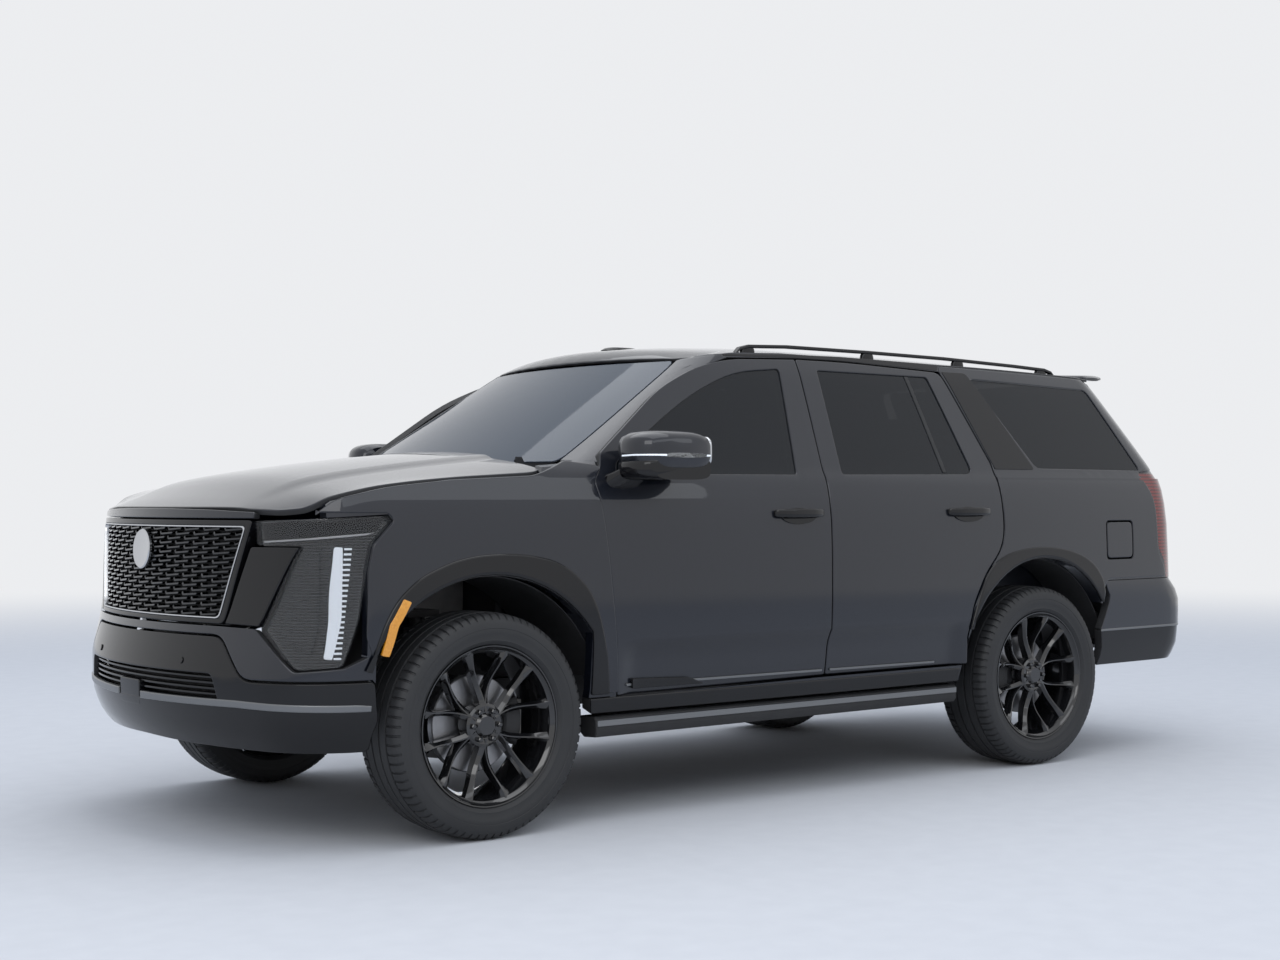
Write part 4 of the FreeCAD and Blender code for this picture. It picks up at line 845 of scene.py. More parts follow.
cover = pressed("lower_cover", lower, LOW_COVER, [gloss, grained], holes=[INTAKE], wall=0.03,
                step=0.035, gap=0.002, flat=True)
given(cover, "body", "gloss_black", "front_bumper")


def repeated(name, unit, places, chosen):
    """Geometry Nodes: one small unit set at each place, as (position, turn, size)."""
    mesh = bpy.data.meshes.new(name)
    mesh.from_pydata([tuple(p[0]) for p in places], [], [])
    for label, k in (("turn", 1), ("size", 2)):
        values = mesh.attributes.new(label, "FLOAT_VECTOR", "POINT")
        values.data.foreach_set("vector", [c for p in places for c in p[k]])
    item = bpy.data.objects.new(name, mesh)
    collection.objects.link(item)
    tree = bpy.data.node_groups.new(name, "GeometryNodeTree")
    for label, kind, way in (("Places", "NodeSocketGeometry", "INPUT"),
                             ("Unit", "NodeSocketObject", "INPUT"),
                             ("Finish", "NodeSocketMaterial", "INPUT"),
                             ("Result", "NodeSocketGeometry", "OUTPUT")):
        tree.interface.new_socket(label, in_out=way, socket_type=kind)
    steps = {kind: tree.nodes.new(kind) for kind in (
        "NodeGroupInput", "GeometryNodeObjectInfo", "GeometryNodeInstanceOnPoints",
        "GeometryNodeRealizeInstances", "GeometryNodeSetMaterial", "NodeGroupOutput")}
    entry, info, put, real, coat, leave = steps.values()
    turn = tree.nodes.new("GeometryNodeInputNamedAttribute")
    size = tree.nodes.new("GeometryNodeInputNamedAttribute")
    for node, label in ((turn, "turn"), (size, "size")):
        node.data_type = "FLOAT_VECTOR"
        node.inputs["Name"].default_value = label
    for start, end in (
            (entry.outputs["Places"], put.inputs["Points"]), (entry.outputs["Unit"], info.inputs["Object"]),
            (info.outputs["Geometry"], put.inputs["Instance"]),
        (turn.outputs["Attribute"], put.inputs["Rotation"]),
            (size.outputs["Attribute"], put.inputs["Scale"]),
        (put.outputs["Instances"], real.inputs["Geometry"]),
            (real.outputs["Geometry"], coat.inputs["Geometry"]),
        (entry.outputs["Finish"], coat.inputs["Material"]),
            (coat.outputs["Geometry"], leave.inputs["Result"])):
        tree.links.new(start, end)
    modifier = item.modifiers.new(name, "NODES")
    modifier.node_group = tree
    for socket in tree.interface.items_tree:
        if socket.in_out == "INPUT" and socket.name in ("Unit", "Finish"):
            modifier[socket.identifier] = unit if socket.name == "Unit" else chosen
    bpy.context.view_layer.update()
    result = bpy.data.meshes.new_from_object(item.evaluated_get(bpy.context.evaluated_depsgraph_get()))
    item.modifiers.clear()
    item.data = result
    result.name = name
    bpy.data.objects.remove(unit)
    return item


def block(outline, low, high, bevel, axis=2):
    # A prism of the outline between two heights along an axis, its rim drawn in by the bevel
    points = [Vector(p) for p in outline]
    if turned_area(points) < 0:
        points.reverse()
    count = len(points)
    small = drawn_in(points, bevel)
    rings = [(small, low), (points, low + bevel), (points, high - bevel), (small, high)]
    spots = []
    for ring, level_at in rings:
        for p in ring:
            spot = [p.x, p.y, level_at]
            spots.append(tuple(spot[(k + 2 - axis) % 3] for k in range(3)))
    faces = []
    for r in range(len(rings) - 1):
        for k in range(count):
            a, b = r * count + k, r * count + (k + 1) % count
            faces.append((a, b, b + count, a + count))
    faces.append(tuple(range(count))[::-1])
    faces.append(tuple(range(len(spots) - count, len(spots))))
    return spots, faces


def on_skin(reach, height, depth, size=(1, 1, 1)):
    # A unit's place below the nose's skin, its turn (X along the skin, Y up, Z outward), its size
    outward = lower.outward(reach, height)
    side = Vector((0, 0, 1)).cross(outward).normalized()
    rise = outward.cross(side).normalized()
    turn = Matrix((side, rise, outward)).transposed().to_euler()
    return lower.place(reach, height) - outward * depth, turn, size


# Grille: an injection-moulded gloss surround round a window that narrows downward, filled with
# rows of hooked bars in dark chrome, staggered like scales. The badge's place is a plain disc.
FIELD_TOP = 1.151
FIELD_TOP_HALF = 0.634
FIELD_LOW = 0.829
FIELD_LOW_HALF = 0.526


def narrowing(top_half, top, low_half, low):
    # A window that is level above and below and narrows downward
    return [ahead_at(y, z, .02) for y, z in (
        (-top_half, top), (top_half, top), (low_half, low), (-low_half, low))]


GRILLE_OUT = narrowing(.668, 1.178, .553, .805)
GRILLE_WINDOW = narrowing(.640, 1.156, .530, .824)
GRILLE_LINE = narrowing(FIELD_TOP_HALF, FIELD_TOP, FIELD_LOW_HALF, FIELD_LOW)
on_nose("grille_surround", GRILLE_OUT, [gloss], "gloss_black", holes=[GRILLE_WINDOW], wall=0.05, step=0.03,
        gap=0.001, roll=0.004)
on_nose("grille_line", GRILLE_WINDOW, [bright], "gloss_black", holes=[GRILLE_LINE], wall=0.02, step=0.02,
        gap=0.0, roll=0.001, proud=0.002)
back = pressed("grille_back", lower, GRILLE_WINDOW, [grained], wall=0.01, step=0.04, gap=-0.002,
               proud=-0.060, flat=True)
given(back, "body", "gloss_black", "grille")
dark_chrome, shader, place = finish("grille_bars", (0.042, 0.044, 0.048), 0.20, Metallic=1.0,
                                    Coat_Weight=0.5)
cloud = noise(place, 50.0, 3.0)
feed(shader, "Roughness", cloud * 0.12 + 0.14)
BAR = ((-.047, .006), (-.040, -.0035), (.042, .0015), (.047, .008), (.041, .0085), (-.036, .0040),
       (-.040, .012))
spots, faces = block(BAR, -0.030, 0.0, 0.0012)
places = []
ROWS = 19
BARS = 14
TOP_ROW = 1.141
ROW_PITCH = 0.017
BAR_PITCH = 0.114
BAR_HALF = 0.047
LEAST_BAR = 0.016
for row in range(ROWS):
    z = TOP_ROW - row * ROW_PITCH
    share = (z - FIELD_LOW) / (FIELD_TOP - FIELD_LOW)
    edge = FIELD_LOW_HALF + (FIELD_TOP_HALF - FIELD_LOW_HALF) * share - 0.008
    start = -BAR_PITCH * 6 + (BAR_PITCH / 2 if row % 2 else 0)
    for k in range(BARS):
        y = start + k * BAR_PITCH
        left, right = max(y - BAR_HALF, -edge), min(y + BAR_HALF, edge)
        if right - left >= LEAST_BAR:
            reach = lower.along(z, y=(left + right) / 2)
            places.append(on_skin(reach, z, 0.012, ((right - left) / (2 * BAR_HALF), 1.0, 1.0)))
bars = repeated("grille_bars", shape("bar", spots, faces, [dark_chrome]), places, dark_chrome)
given(bars, "body", "gloss_black")


def disc(radius, thick, edge=0.004, sides=48, dish=0.0):
    # A turned disc facing along Z, with a rounded edge
    rings = [(0.0, thick - dish), (radius * 0.5, thick - dish * 0.7), (radius - edge, thick),
             (radius, thick - edge), (radius, 0.0), (0.0, 0.0)]
    spots, faces = [], []
    for r, z in rings:
        if r == 0.0:
            spots.append((0, 0, z))
        else:
            spots += [(r * math.cos(2 * math.pi * k / sides), r * math.sin(2 * math.pi * k / sides), z)
                      for k in range(sides)]
    for k in range(sides):
        n = (k + 1) % sides
        faces.append((0, 1 + k, 1 + n))
        for r in range(3):
            a = 1 + r * sides
            faces.append((a + k, a + sides + k, a + sides + n, a + n))
        a = 1 + 3 * sides
        faces.append((a + k, len(spots) - 1, a + n))
    return spots, faces


BADGE_HEIGHT = 1.065
spots, faces = disc(0.075, 0.012, dish=0.004)
badge = repeated("grille_disc", shape("disc", spots, faces, [bright]),
                 [on_skin(lower.along(BADGE_HEIGHT, y=0.0), BADGE_HEIGHT, 0.008)], bright)
given(badge, "body", "gloss_black")

# Corner panels: moulded gloss black fillers, clipped between the grille and the lamps, that
# carry the grille's slant on into the bumper.
on_both("corner_panel", [ahead_at(.668, 1.084, .01), side_at(2.424, 1.084, .01), side_at(2.444, 1.038),
                         side_at(2.515, .800), ahead_at(.705, .802, .01), ahead_at(.560, .806, .01)],
        [gloss], "gloss_black", wall=0.03, step=0.03, gap=0.002)

# Headlamps: a clear lens over a black bowl. Across the top runs a thin running lamp, and down
# the corner an upright light blade with a ladder of small lamps beside it.
lens, shader, place = finish("lamp_lens", (0.03, 0.033, 0.036), 0.03, Coat_Weight=1.0)
LENS_OPACITY = 0.16
shader.inputs["Alpha"].default_value = LENS_OPACITY
wave = noise(place, 12.0, 1.0)
feed(shader, "Roughness", wave * 0.02 + 0.02)
glow, shader, place = finish("lamp_white", (0.86, 0.90, 0.95), 0.25, Coat_Weight=0.6,
                             Emission_Strength=0.30)
rib = noise(place, 260.0, 1.0)
feed(shader, "Emission Color", rib.mix((0.80, 0.88, 0.98, 1), (1.0, 1.0, 1.0, 1)))
smoked, shader, place = finish("lamp_bowl", (0.030, 0.032, 0.036), 0.22, Coat_Weight=0.4)
line = place.add("ShaderNodeSeparateXYZ", None, {0: place}, 2) * 95.0
line = line.maths("FRACT", line)
feed(shader, "Base Color", line.between(0.78, 0.9).mix((0.016, 0.017, 0.019, 1), (0.09, 0.095, 0.10, 1)))
HEADLAMP = [side_at(2.508, 1.176, .01), side_at(2.145, 1.194, .01), side_at(2.124, 1.174, .01),
            side_at(2.207, 1.090), side_at(2.230, .980), side_at(2.311, .662, .02),
            side_at(2.454, .654, .02),
            side_at(2.512, .796), side_at(2.442, 1.040), side_at(2.422, 1.086, .01),
            side_at(2.508, 1.086, .01)]
on_both("lamp_bowl", HEADLAMP, [smoked], "lamp_clear", wall=0.03, step=0.035, gap=0.0, roll=0.001,
        proud=-0.032)
STRIP = [side_at(2.500, 1.168, .004), side_at(2.150, 1.185, .004), side_at(2.185, 1.132),
         side_at(2.399, 1.112, .01), side_at(2.500, 1.100, .004)]
on_both("lamp_strip", STRIP, [gloss], "lamp_clear", wall=0.016, step=0.03, gap=0.0, roll=0.003,
        proud=-0.012)
THIN = [side_at(2.498, 1.104, .002), side_at(2.498, 1.097, .002), side_at(2.399, 1.108, .01),
        side_at(2.222, 1.124, .01),
        side_at(2.195, 1.133, .002), side_at(2.222, 1.131, .01), side_at(2.399, 1.115, .01)]
on_both("lamp_strip_line", THIN, [bright], "lamp_clear", wall=0.010, step=0.03, gap=0.0, roll=0.001,
        proud=-0.008)
BLADE = [side_at(2.334, 1.084, .01), side_at(2.306, 1.082, .004), side_at(2.346, .690, .004),
         side_at(2.374, .694, .01), side_at(2.356, .880, .1)]
on_both("lamp_blade", BLADE, [glow], "lamp_clear", wall=0.02, step=0.02, gap=0.0, roll=0.004, proud=-0.010)
INNER = [side_at(2.376, 1.088, .004), side_at(2.420, 1.064, .01), side_at(2.500, .812, .02),
         side_at(2.410, .700, .03)]
on_both("lamp_inner", INNER, [smoked], "lamp_clear", wall=0.014, step=0.03, gap=0.002, roll=0.003,
        proud=-0.016)
FIN = ((-.013, -.0035), (.013, -.0035), (.013, .0035), (-.013, .0035))
FINS = 22
FIN_TOP = (2.288, 1.076)
FIN_LOW = (2.328, .694)
places = []
for k in range(FINS):
    z = FIN_TOP[1] - (FIN_TOP[1] - FIN_LOW[1]) * k / (FINS - 1)
    x = FIN_TOP[0] + (FIN_LOW[0] - FIN_TOP[0]) * k / (FINS - 1)
    places += [on_skin(lower.along(z, x=x) * side, z, 0.024) for side in (1, -1)]
spots, faces = block(FIN, 0.0, 0.012, 0.0012)
fins = repeated("lamp_fins", shape("fin", spots, faces, [glow]), places, glow)
given(fins, "body", "lamp_clear")
cover = pressed("lamp_lens_left", lower, HEADLAMP, [lens], wall=0.006, step=0.035, gap=0.002, roll=0.002,
                flat=True)
both_sides(cover, "body", "lamp_clear", "headlamps")

# Intake: level bars behind the lower cover's window, a blank sensor block in the middle, and
# the bright strips that cross the cover below it.
BAR_ROWS = (.536, .556, .576, .596, .616)
SLAT_HALF = 0.004
for k, z in enumerate(BAR_ROWS):
    out = 0.575 - (0.575 - 0.54) * (z - .52) / .108
    slat = [ahead_at(y, z + h, .002) for y, h in (
        (-out, -SLAT_HALF), (out, -SLAT_HALF), (out, SLAT_HALF), (-out, SLAT_HALF))]
    on_nose("intake_bar_%d" % (k + 1), slat, [gloss], "gloss_black", wall=0.03, step=0.05, gap=0.0,
            roll=0.002, proud=-0.012)
back = pressed("intake_back", lower, INTAKE, [grained], wall=0.01, step=0.06, gap=-0.006, proud=-0.055,
               flat=True)
given(back, "body", "black_plastic")
on_nose("sensor_block", [ahead_at(-.086, .484, .012), ahead_at(.086, .484, .012),
                         ahead_at(.090, .580, .012),
                         ahead_at(-.090, .580, .012)], [gloss], "gloss_black", wall=0.04, step=0.03,
        gap=0.0, proud=0.0)
chin = [ahead_at(.10, .512, .004), ahead_at(.651, .516, .02), side_at(2.257, .504, .02),
        side_at(2.200, .502, .004),
        side_at(2.200, .524, .004), side_at(2.251, .530, .02), ahead_at(.660, .543, .02),
        ahead_at(.10, .540, .004)]
on_both("chin_strip", chin, [satin], "black_plastic", wall=0.014, step=0.03, gap=0.0, roll=0.004,
        proud=0.004)
SENSOR_PLACE = .373
SENSOR_HEIGHT = .669
for hand, side in (("left", 1), ("right", -1)):
    spots, faces = disc(0.012, 0.004, 0.001, 24)
    reach = lower.along(SENSOR_HEIGHT, y=SENSOR_PLACE * side)
    eye = repeated("parking_sensor_" + hand, shape("eye", spots, faces, [gloss]),
                   [on_skin(reach, SENSOR_HEIGHT, 0.0)], gloss)
    given(eye, "body", "gloss_black")


# Tyres: dull black rubber. The tread has four straight grooves and sipes that run over the
# shoulders, and the sidewalls carry plain moulded rings and a rim guard.
tyre_rubber, shader, place = finish("tyre_rubber", (0.030, 0.031, 0.033), 0.68)
dust = noise(place, 7.0, 5.0)
fine = noise(place, 420.0, 2.0)
feed(shader, "Base Color", dust.mix((0.011, 0.0115, 0.0125, 1), (0.028, 0.0285, 0.030, 1)))
feed(shader, "Roughness", dust * 0.16 + 0.52)
roughen(shader, fine, 0.00025)
TRACK = 0.868
TYRE_RADIUS = 0.4168
GROOVE = 0.009
GROOVES = (.026, .074)
# distance from the middle plane, radius
SIDEWALL = (
    (.108, .4128), (.121, .4085), (.130, .4010), (.1345, .3935), (.1365, .3915), (.1400, .3800),
    (.1418, .3640),
    (.1419, .3600), (.1405, .3585), (.1412, .3560), (.1385, .3400), (.1330, .3215), (.1335, .3150),
    (.1290, .3080), (.1200, .2990), (.1120, .2976),
)


def tyre_profile(groove):
    points = [(0.0, TYRE_RADIUS)]
    for middle in GROOVES:
        points += [(middle - .005, TYRE_RADIUS - .0001), (middle - .0035, TYRE_RADIUS - GROOVE),
                   (middle + .0035, TYRE_RADIUS - GROOVE),
                   (middle + .005, TYRE_RADIUS - .0001 - middle * .01)]
    side = list(SIDEWALL)
    if groove:
        depth = (.0065, .0060, .0050, .0030, .0010)
        side = [(w - (.0015 if k in (1, 2, 3) else 0), r - depth[k]) if k < len(depth) else (w, r)
                for k, (w, r) in enumerate(side)]
        points = points[:-1] + [(GROOVES[1] + .005, TYRE_RADIUS - .0001 - .0060)]
    half = points + side
    return [(-w, r) for w, r in reversed(half[1:])] + half


def turned(profile_at, angles):
    # A ring swept about Y; profile_at(k) gives (along the axis, radius) points for section k
    spots, faces = [], []
    for k, angle in enumerate(angles):
        profile = profile_at(k)
        rows = len(profile)
        spots += [(r * math.cos(angle), w, r * math.sin(angle)) for w, r in profile]
    count = len(angles)
    for k in range(count):
        a, b = k * rows, ((k + 1) % count) * rows
        for j in range(rows):
            n = (j + 1) % rows
            faces.append((a + j, b + j, b + n, a + n))
    return spots, faces


SIPES = 76
angles, kinds = [], []
for k in range(SIPES):
    for part, kind in ((0.0, 0), (0.70, 0), (0.78, 1), (0.92, 1)):
        angles.append(2 * math.pi * (k + part) / SIPES)
        kinds.append(kind)
tyre_spots, tyre_faces = turned(lambda k: tyre_profile(kinds[k]), angles)

# Wheels: cast aluminium in gloss black. Twelve spokes join in six pairs at the hub and reach
# the rim at even steps, each with a ridge and a facet that widens outward. Six plain nuts.
wheel_black, shader, place = finish("wheel_black", (0.010, 0.010, 0.011), 0.14, Metallic=0.3,
                                    Coat_Weight=1.0, Coat_Roughness=0.03)
cloud = noise(place, 40.0, 3.0)
feed(shader, "Roughness", cloud * 0.1 + 0.10)
RIM_PROFILE = (
    (-.123, .2968), (-.118, .2968), (-.112, .284), (-.060, .272), (.070, .272), (.104, .279), (.110, .2925),
    (.118, .2965), (.1235, .2960), (.1225, .2915), (.114, .2880), (.104, .2755), (.060, .262),
    (-.060, .262), (-.114, .276),
)
PAIRS = 6
SPOKE_START = 0.050
SPOKE_REACH = 0.281
SPOKE_SPREAD = math.radians(14.6)
SPOKE_PARTING = math.radians(2.0)
SPOKE_POINTS = 6


def spoke_section(along, turn):
    # The four corners and the ridge of a spoke at a part of its length, 0 to 1. It is narrowest
    # past the middle, and its face dips between the hub and the rim.
    radius = SPOKE_START + (SPOKE_REACH - SPOKE_START) * along
    lean = SPOKE_SPREAD * smooth(along ** 0.8) * turn + SPOKE_PARTING * turn
    half = 0.0095 + 0.0045 * (1 - along) ** 2 + 0.012 * max(along - 0.72, 0) / 0.28
    face = 0.088 - 0.026 * math.sin(math.pi * min(along * 1.05, 1.0)) ** 1.4 + 0.021 * along
    deep = face - 0.052 + 0.014 * along
    ridge = half * (-0.25 * turn)
    corners = ((-half, deep), (-half, face - .012), (ridge - .0025, face), (ridge + .0025, face),
               (half, face - .012), (half, deep))
    return [(radius * math.cos(lean) - t * math.sin(lean), w, radius * math.sin(lean) + t * math.cos(lean))
            for t, w in corners]


def spoke(turn, steps=12):
    spots, faces = [], []
    for k in range(steps + 1):
        spots += spoke_section(k / steps, turn)
    for k in range(steps):
        for j in range(SPOKE_POINTS):
            a, b = k * SPOKE_POINTS + j, k * SPOKE_POINTS + (j + 1) % SPOKE_POINTS
            faces.append((a, a + SPOKE_POINTS, b + SPOKE_POINTS, b))
    faces.append(tuple(range(SPOKE_POINTS)))
    faces.append(tuple(range(len(spots) - 1, len(spots) - 1 - SPOKE_POINTS, -1)))
    return spots, faces


def turned_about_axle(spots, angle):
    c, s = math.cos(angle), math.sin(angle)
    return [(x * c - z * s, y, x * s + z * c) for x, y, z in spots]


def added(whole, part):
    first = len(whole[0])
    whole[0].extend(part[0])
    whole[1].extend(tuple(first + i for i in f) for f in part[1])


def oriented(spots, faces):
    # The same closed shells with every face turned outward
    builder = bmesh.new()
    verts = [builder.verts.new(s) for s in spots]
    for face in faces:
        builder.faces.new([verts[i] for i in face])
    bmesh.ops.recalc_face_normals(builder, faces=builder.faces)
    builder.verts.index_update()
    result = [tuple(v.co) for v in builder.verts], [tuple(v.index for v in f.verts) for f in builder.faces]
    builder.free()
    return result


def around(count):
    return [2 * math.pi * k / count for k in range(count)]


wheel = ([], [])
ring = around(120)
added(wheel, turned(lambda k: RIM_PROFILE, ring))
for k in range(PAIRS):
    for turn in (1, -1):
        spots, faces = spoke(turn)
        added(wheel, (turned_about_axle(spots, math.pi / 2 + 2 * math.pi * k / PAIRS), faces))
HUB_PROFILE = ((.020, .0), (.020, .078), (.060, .084), (.080, .080), (.086, .070), (.084, .046),
               (.092, .040), (.097, .034), (.097, .0))
LEAST_RADIUS = 0.0004
added(wheel, turned(lambda k: [(w, max(r, LEAST_RADIUS)) for w, r in HUB_PROFILE], around(72)))
wheel = oriented(*wheel)
nuts = ([], [])
NUTS = 6
NUT_CIRCLE = 0.0575
NUT_RADIUS = 0.0105


def along_axle(prism):
    # A prism made along Z is laid along Y, the axle
    return [(x, z, y) for x, y, z in prism[0]], prism[1]


for k in range(NUTS):
    angle = 2 * math.pi * (k + 0.5) / NUTS + math.pi / 2
    hexagon = [(NUT_CIRCLE * math.cos(angle) + NUT_RADIUS * math.cos(a),
                NUT_CIRCLE * math.sin(angle) + NUT_RADIUS * math.sin(a)) for a in around(6)]
    added(nuts, along_axle(block(hexagon, .074, .102, .003)))
nuts = oriented(*nuts)

# Brake discs and calipers: cast iron discs with a bright worn face, bolted to the hubs and
# seen between the spokes. A cast caliper clasps each one.
DISC_PROFILE = ((.004, .060), (.004, .178), (.0, .182), (-.024, .182), (-.028, .178), (-.028, .060))
disc_shell = oriented(*turned(lambda k: DISC_PROFILE, ring))
CALIPER_INSIDE = .120
CALIPER_OUTSIDE = .196
span = [math.radians(v) for v in range(-28, 29, 8)]
caliper = [(CALIPER_INSIDE * math.cos(a), CALIPER_INSIDE * math.sin(a)) for a in span]
caliper += [(CALIPER_OUTSIDE * math.cos(a), CALIPER_OUTSIDE * math.sin(a))
            for a in [-v for v in span]]
caliper_shell = oriented(*along_axle(block(caliper, -.045, .034, .008)))
iron, shader, place = finish("brake_iron", (0.30, 0.30, 0.31), 0.34, Metallic=0.9)
cloud = noise(place, 90.0, 4.0)
feed(shader, "Roughness", cloud * 0.2 + 0.26)


def on_axle(name, shell, axle, side, finishes, body, slot, *replaced):
    spots = [(axle + x, side * (TRACK + y), WHEEL_HEIGHT + z) for x, y, z in shell[0]]
    faces = shell[1] if side > 0 else [f[::-1] for f in shell[1]]
    item = shape(name, spots, faces, finishes, sharp=32)
    given(item, body, slot, *replaced)


tyre = oriented(tyre_spots, tyre_faces)
for end, axle in (("front", AXLES[0]), ("rear", AXLES[1])):
    for hand, side in (("left", 1), ("right", -1)):
        body = "wheel_%s_%s" % (end, hand)
        on_axle("tyre_%s_%s" % (end, hand), tyre, axle, side, [tyre_rubber], body, "tyre_rubber",
                "%s_tyre_%s" % (end, hand))
        on_axle("cast_wheel_%s_%s" % (end, hand), wheel, axle, side, [wheel_black], body, "wheel_black",
                "%s_wheel_%s" % (end, hand))
        on_axle("wheel_nuts_%s_%s" % (end, hand), nuts, axle, side, [wheel_black], body, "wheel_black")
        on_axle("brake_disc_%s_%s" % (end, hand), disc_shell, axle, side, [iron], body, "cast_iron")
        holder = "steering_" + hand if end == "front" else "body"
        turn = math.pi if end == "front" else 0.0
        caliper = turned_about_axle(caliper_shell[0], turn), caliper_shell[1]
        on_axle("brake_caliper_%s_%s" % (end, hand), caliper, axle, side, [grained], holder, "cast_iron")


# Roof: one crowned steel skin from the windscreen to the liftgate. It rolls down to the glass
# in front and to the door frames at the sides.
ROOF_RADIUS = 5.0
ROOF_SIDE = 0.757
ROOF_ROLL = 0.13
HEADER = 1.832
roof_line = Curve([(-2.80, 1.818), (-2.25, 1.886), (-1.40, 1.920), (-.70, 1.936), (-.05, 1.938),
                   (.33, 1.926), (.70, 1.886), (.985, 1.828)])
roof_edge = Curve([(-2.07, 1.838), (-1.90, 1.852), (-.93, 1.868), (-.30, 1.864), (.0, 1.862), (.377, 1.849),
                   (.572, 1.812), (.70, 1.780)])


def header_at(y):
    return upper.place(upper.along(HEADER, y=abs(y)), HEADER).x


class Roof(Lid):
    """The roof from above: place(x, y) lies on its skin."""

    def place(self, x, y):
        crown = roof_line.at(x) - y * y / (2 * ROOF_RADIUS)
        side = roof_line.at(x) - ROOF_SIDE ** 2 / (2 * ROOF_RADIUS) - roof_edge.at(x)
        height = crown - side * min(abs(y) / ROOF_SIDE, 1.02) ** 10
        front = (x - header_at(y) + ROOF_ROLL) / ROOF_ROLL
        if front > 0:
            height -= max(height - HEADER, 0) * (1 - math.sqrt(1 - min(front, 0.985) ** 2))
        return Vector((x, y, height))


roof = Roof()
front_edge = [(header_at(y) - 0.003, y, .01) for y in [-.66 + .11 * k for k in range(13)]]
side_edge = [(.500, .738, .03), (.30, .748, .1), (-.30, .752, .1), (-1.0, .750, .1), (-1.9, .738, .1),
             (-2.056, .725, .02)]
skin = pressed("roof_skin", roof, [(x, -y, r) for x, y, r in side_edge[::-1]] + front_edge + side_edge,
               [paint, grained], wall=0.012, step=0.05, gap=0.0, flat=True, roll=0.003)
given(skin, "body", "body_paint", "roof_panel")


def on_screen(y, z, reach=0.01):
    return upper.along(z, y=y), z, reach


def on_pillar(x, z, reach=0.01):
    return upper.along(z, x=x), z, reach


# Windscreen: one curved sheet of laminated glass with a black ceramic border baked on, bonded
# between the front pillars.
GLASS_EDGE = [on_screen(-.775, 1.398, .03), on_screen(.775, 1.398, .03), on_screen(.668, 1.828, .03),
              on_screen(-.668, 1.828, .03)]
CLEAR_EDGE = [on_screen(-.715, 1.440, .04), on_screen(.715, 1.440, .04), on_screen(.625, 1.800, .04),
              on_screen(-.625, 1.800, .04)]
border = pressed("windscreen_border", upper, GLASS_EDGE, [gloss], holes=[CLEAR_EDGE], wall=0.004, step=0.05,
                 gap=0.0, roll=0.001, proud=-0.007, flat=True)
given(border, "body", "gloss_black")
glass = pressed("windscreen_glass", upper, GLASS_EDGE, [clear], wall=0.005, step=0.06, gap=0.0, roll=0.001,
                proud=-0.001, flat=True)
given(glass, "body", "screen_glass", "windscreen")

# Front pillars and cant rails: pressed steel in body colour from the fender to the roof,
# welded outside the windscreen, with a gloss black strip over the door frames.
PILLAR = [on_screen(.780, 1.398), on_screen(.672, 1.832), on_pillar(.56, 1.838), on_pillar(.40, 1.860),
          on_pillar(.377, 1.846), on_pillar(.540, 1.800, .2), on_pillar(.750, 1.700, .3),
          on_pillar(.920, 1.560, .3), on_pillar(1.090, 1.428), on_pillar(1.160, 1.390)]
pillar = pressed("front_pillar_left", upper, PILLAR, [paint, grained], wall=0.045, step=0.03, gap=0.001,
                 roll=0.004, flat=True)
both_sides(pillar, "body", "body_paint")
RAIL_STRIP = [(.40, 1.849), (.377, 1.852, .1), (-.012, 1.861, .1), (-.300, 1.861, .2), (-.913, 1.841, .04),
              (-.930, 1.872), (-.30, 1.880), (.0, 1.876), (.40, 1.862)]
rail = pressed("cant_rail_left", side_sheet, RAIL_STRIP, [gloss, grained], wall=0.03, step=0.04, gap=0.0,
               roll=0.002, corner=0.004)
both_sides(rail, "body", "gloss_black")

# Rear pillar trims: a moulded gloss black panel clipped on behind the rear door, its edge along
# the quarter window.
TRIM = ((-1.090, 1.378, .01), (-.925, 1.838, .01), (-1.090, 1.838, .02), (-1.380, 1.378, .02))
trim = pressed("quarter_trim_left", side_sheet, TRIM, [gloss], wall=0.010, step=0.05, gap=0.003,
               roll=0.002, proud=0.006)
both_sides(trim, "body", "gloss_black")


def lofted(name, sections, axis, finishes, power, count=32):
    """A closed form through rounded sections: (place, u middle, v middle, half u, half v)."""
    spots, faces = [], []

    def spot(place, u, v):
        values = [u, v]
        values.insert(axis, place)
        return tuple(values)

    for place, u, v, half_u, half_v in sections:
        for k in range(count):
            angle = 2 * math.pi * k / count
            c, s = math.cos(angle), math.sin(angle)
            spots.append(spot(place, u + half_u * math.copysign(abs(c) ** (2 / power), c),
                              v + half_v * math.copysign(abs(s) ** (2 / power), s)))
    for r in range(len(sections) - 1):
        for k in range(count):
            a, b = r * count + k, r * count + (k + 1) % count
            faces.append((a, b, b + count, a + count))
    for r, flip in ((0, True), (len(sections) - 1, False)):
        spots.append(spot(*sections[r][:3]))
        ring = [r * count + k for k in range(count)]
        faces += [(len(spots) - 1, ring[(k + 1) % count], ring[k]) if flip else
                  (len(spots) - 1, ring[k], ring[(k + 1) % count]) for k in range(count)]
    spots, faces = oriented(spots, faces)
    return shape(name, spots, faces, finishes, sharp=40)


# Roof rails: slim extruded rails in gloss black on four low feet each, bolted down just inboard
# of the door frames. A small blank pod stands behind the windscreen.
RAIL_LINE = [(.30, -.040), (.27, -.012), (.22, -.002), (0, .0), (-.5, .0), (-1.0, .0), (-1.5, .0),
             (-1.72, -.002), (-1.77, -.012), (-1.80, -.038)]
RAIL_Y = 0.712
RAIL_RISE = 0.024


def under_rail(x):
    return roof_line.at(x) - RAIL_Y ** 2 / (2 * ROOF_RADIUS)


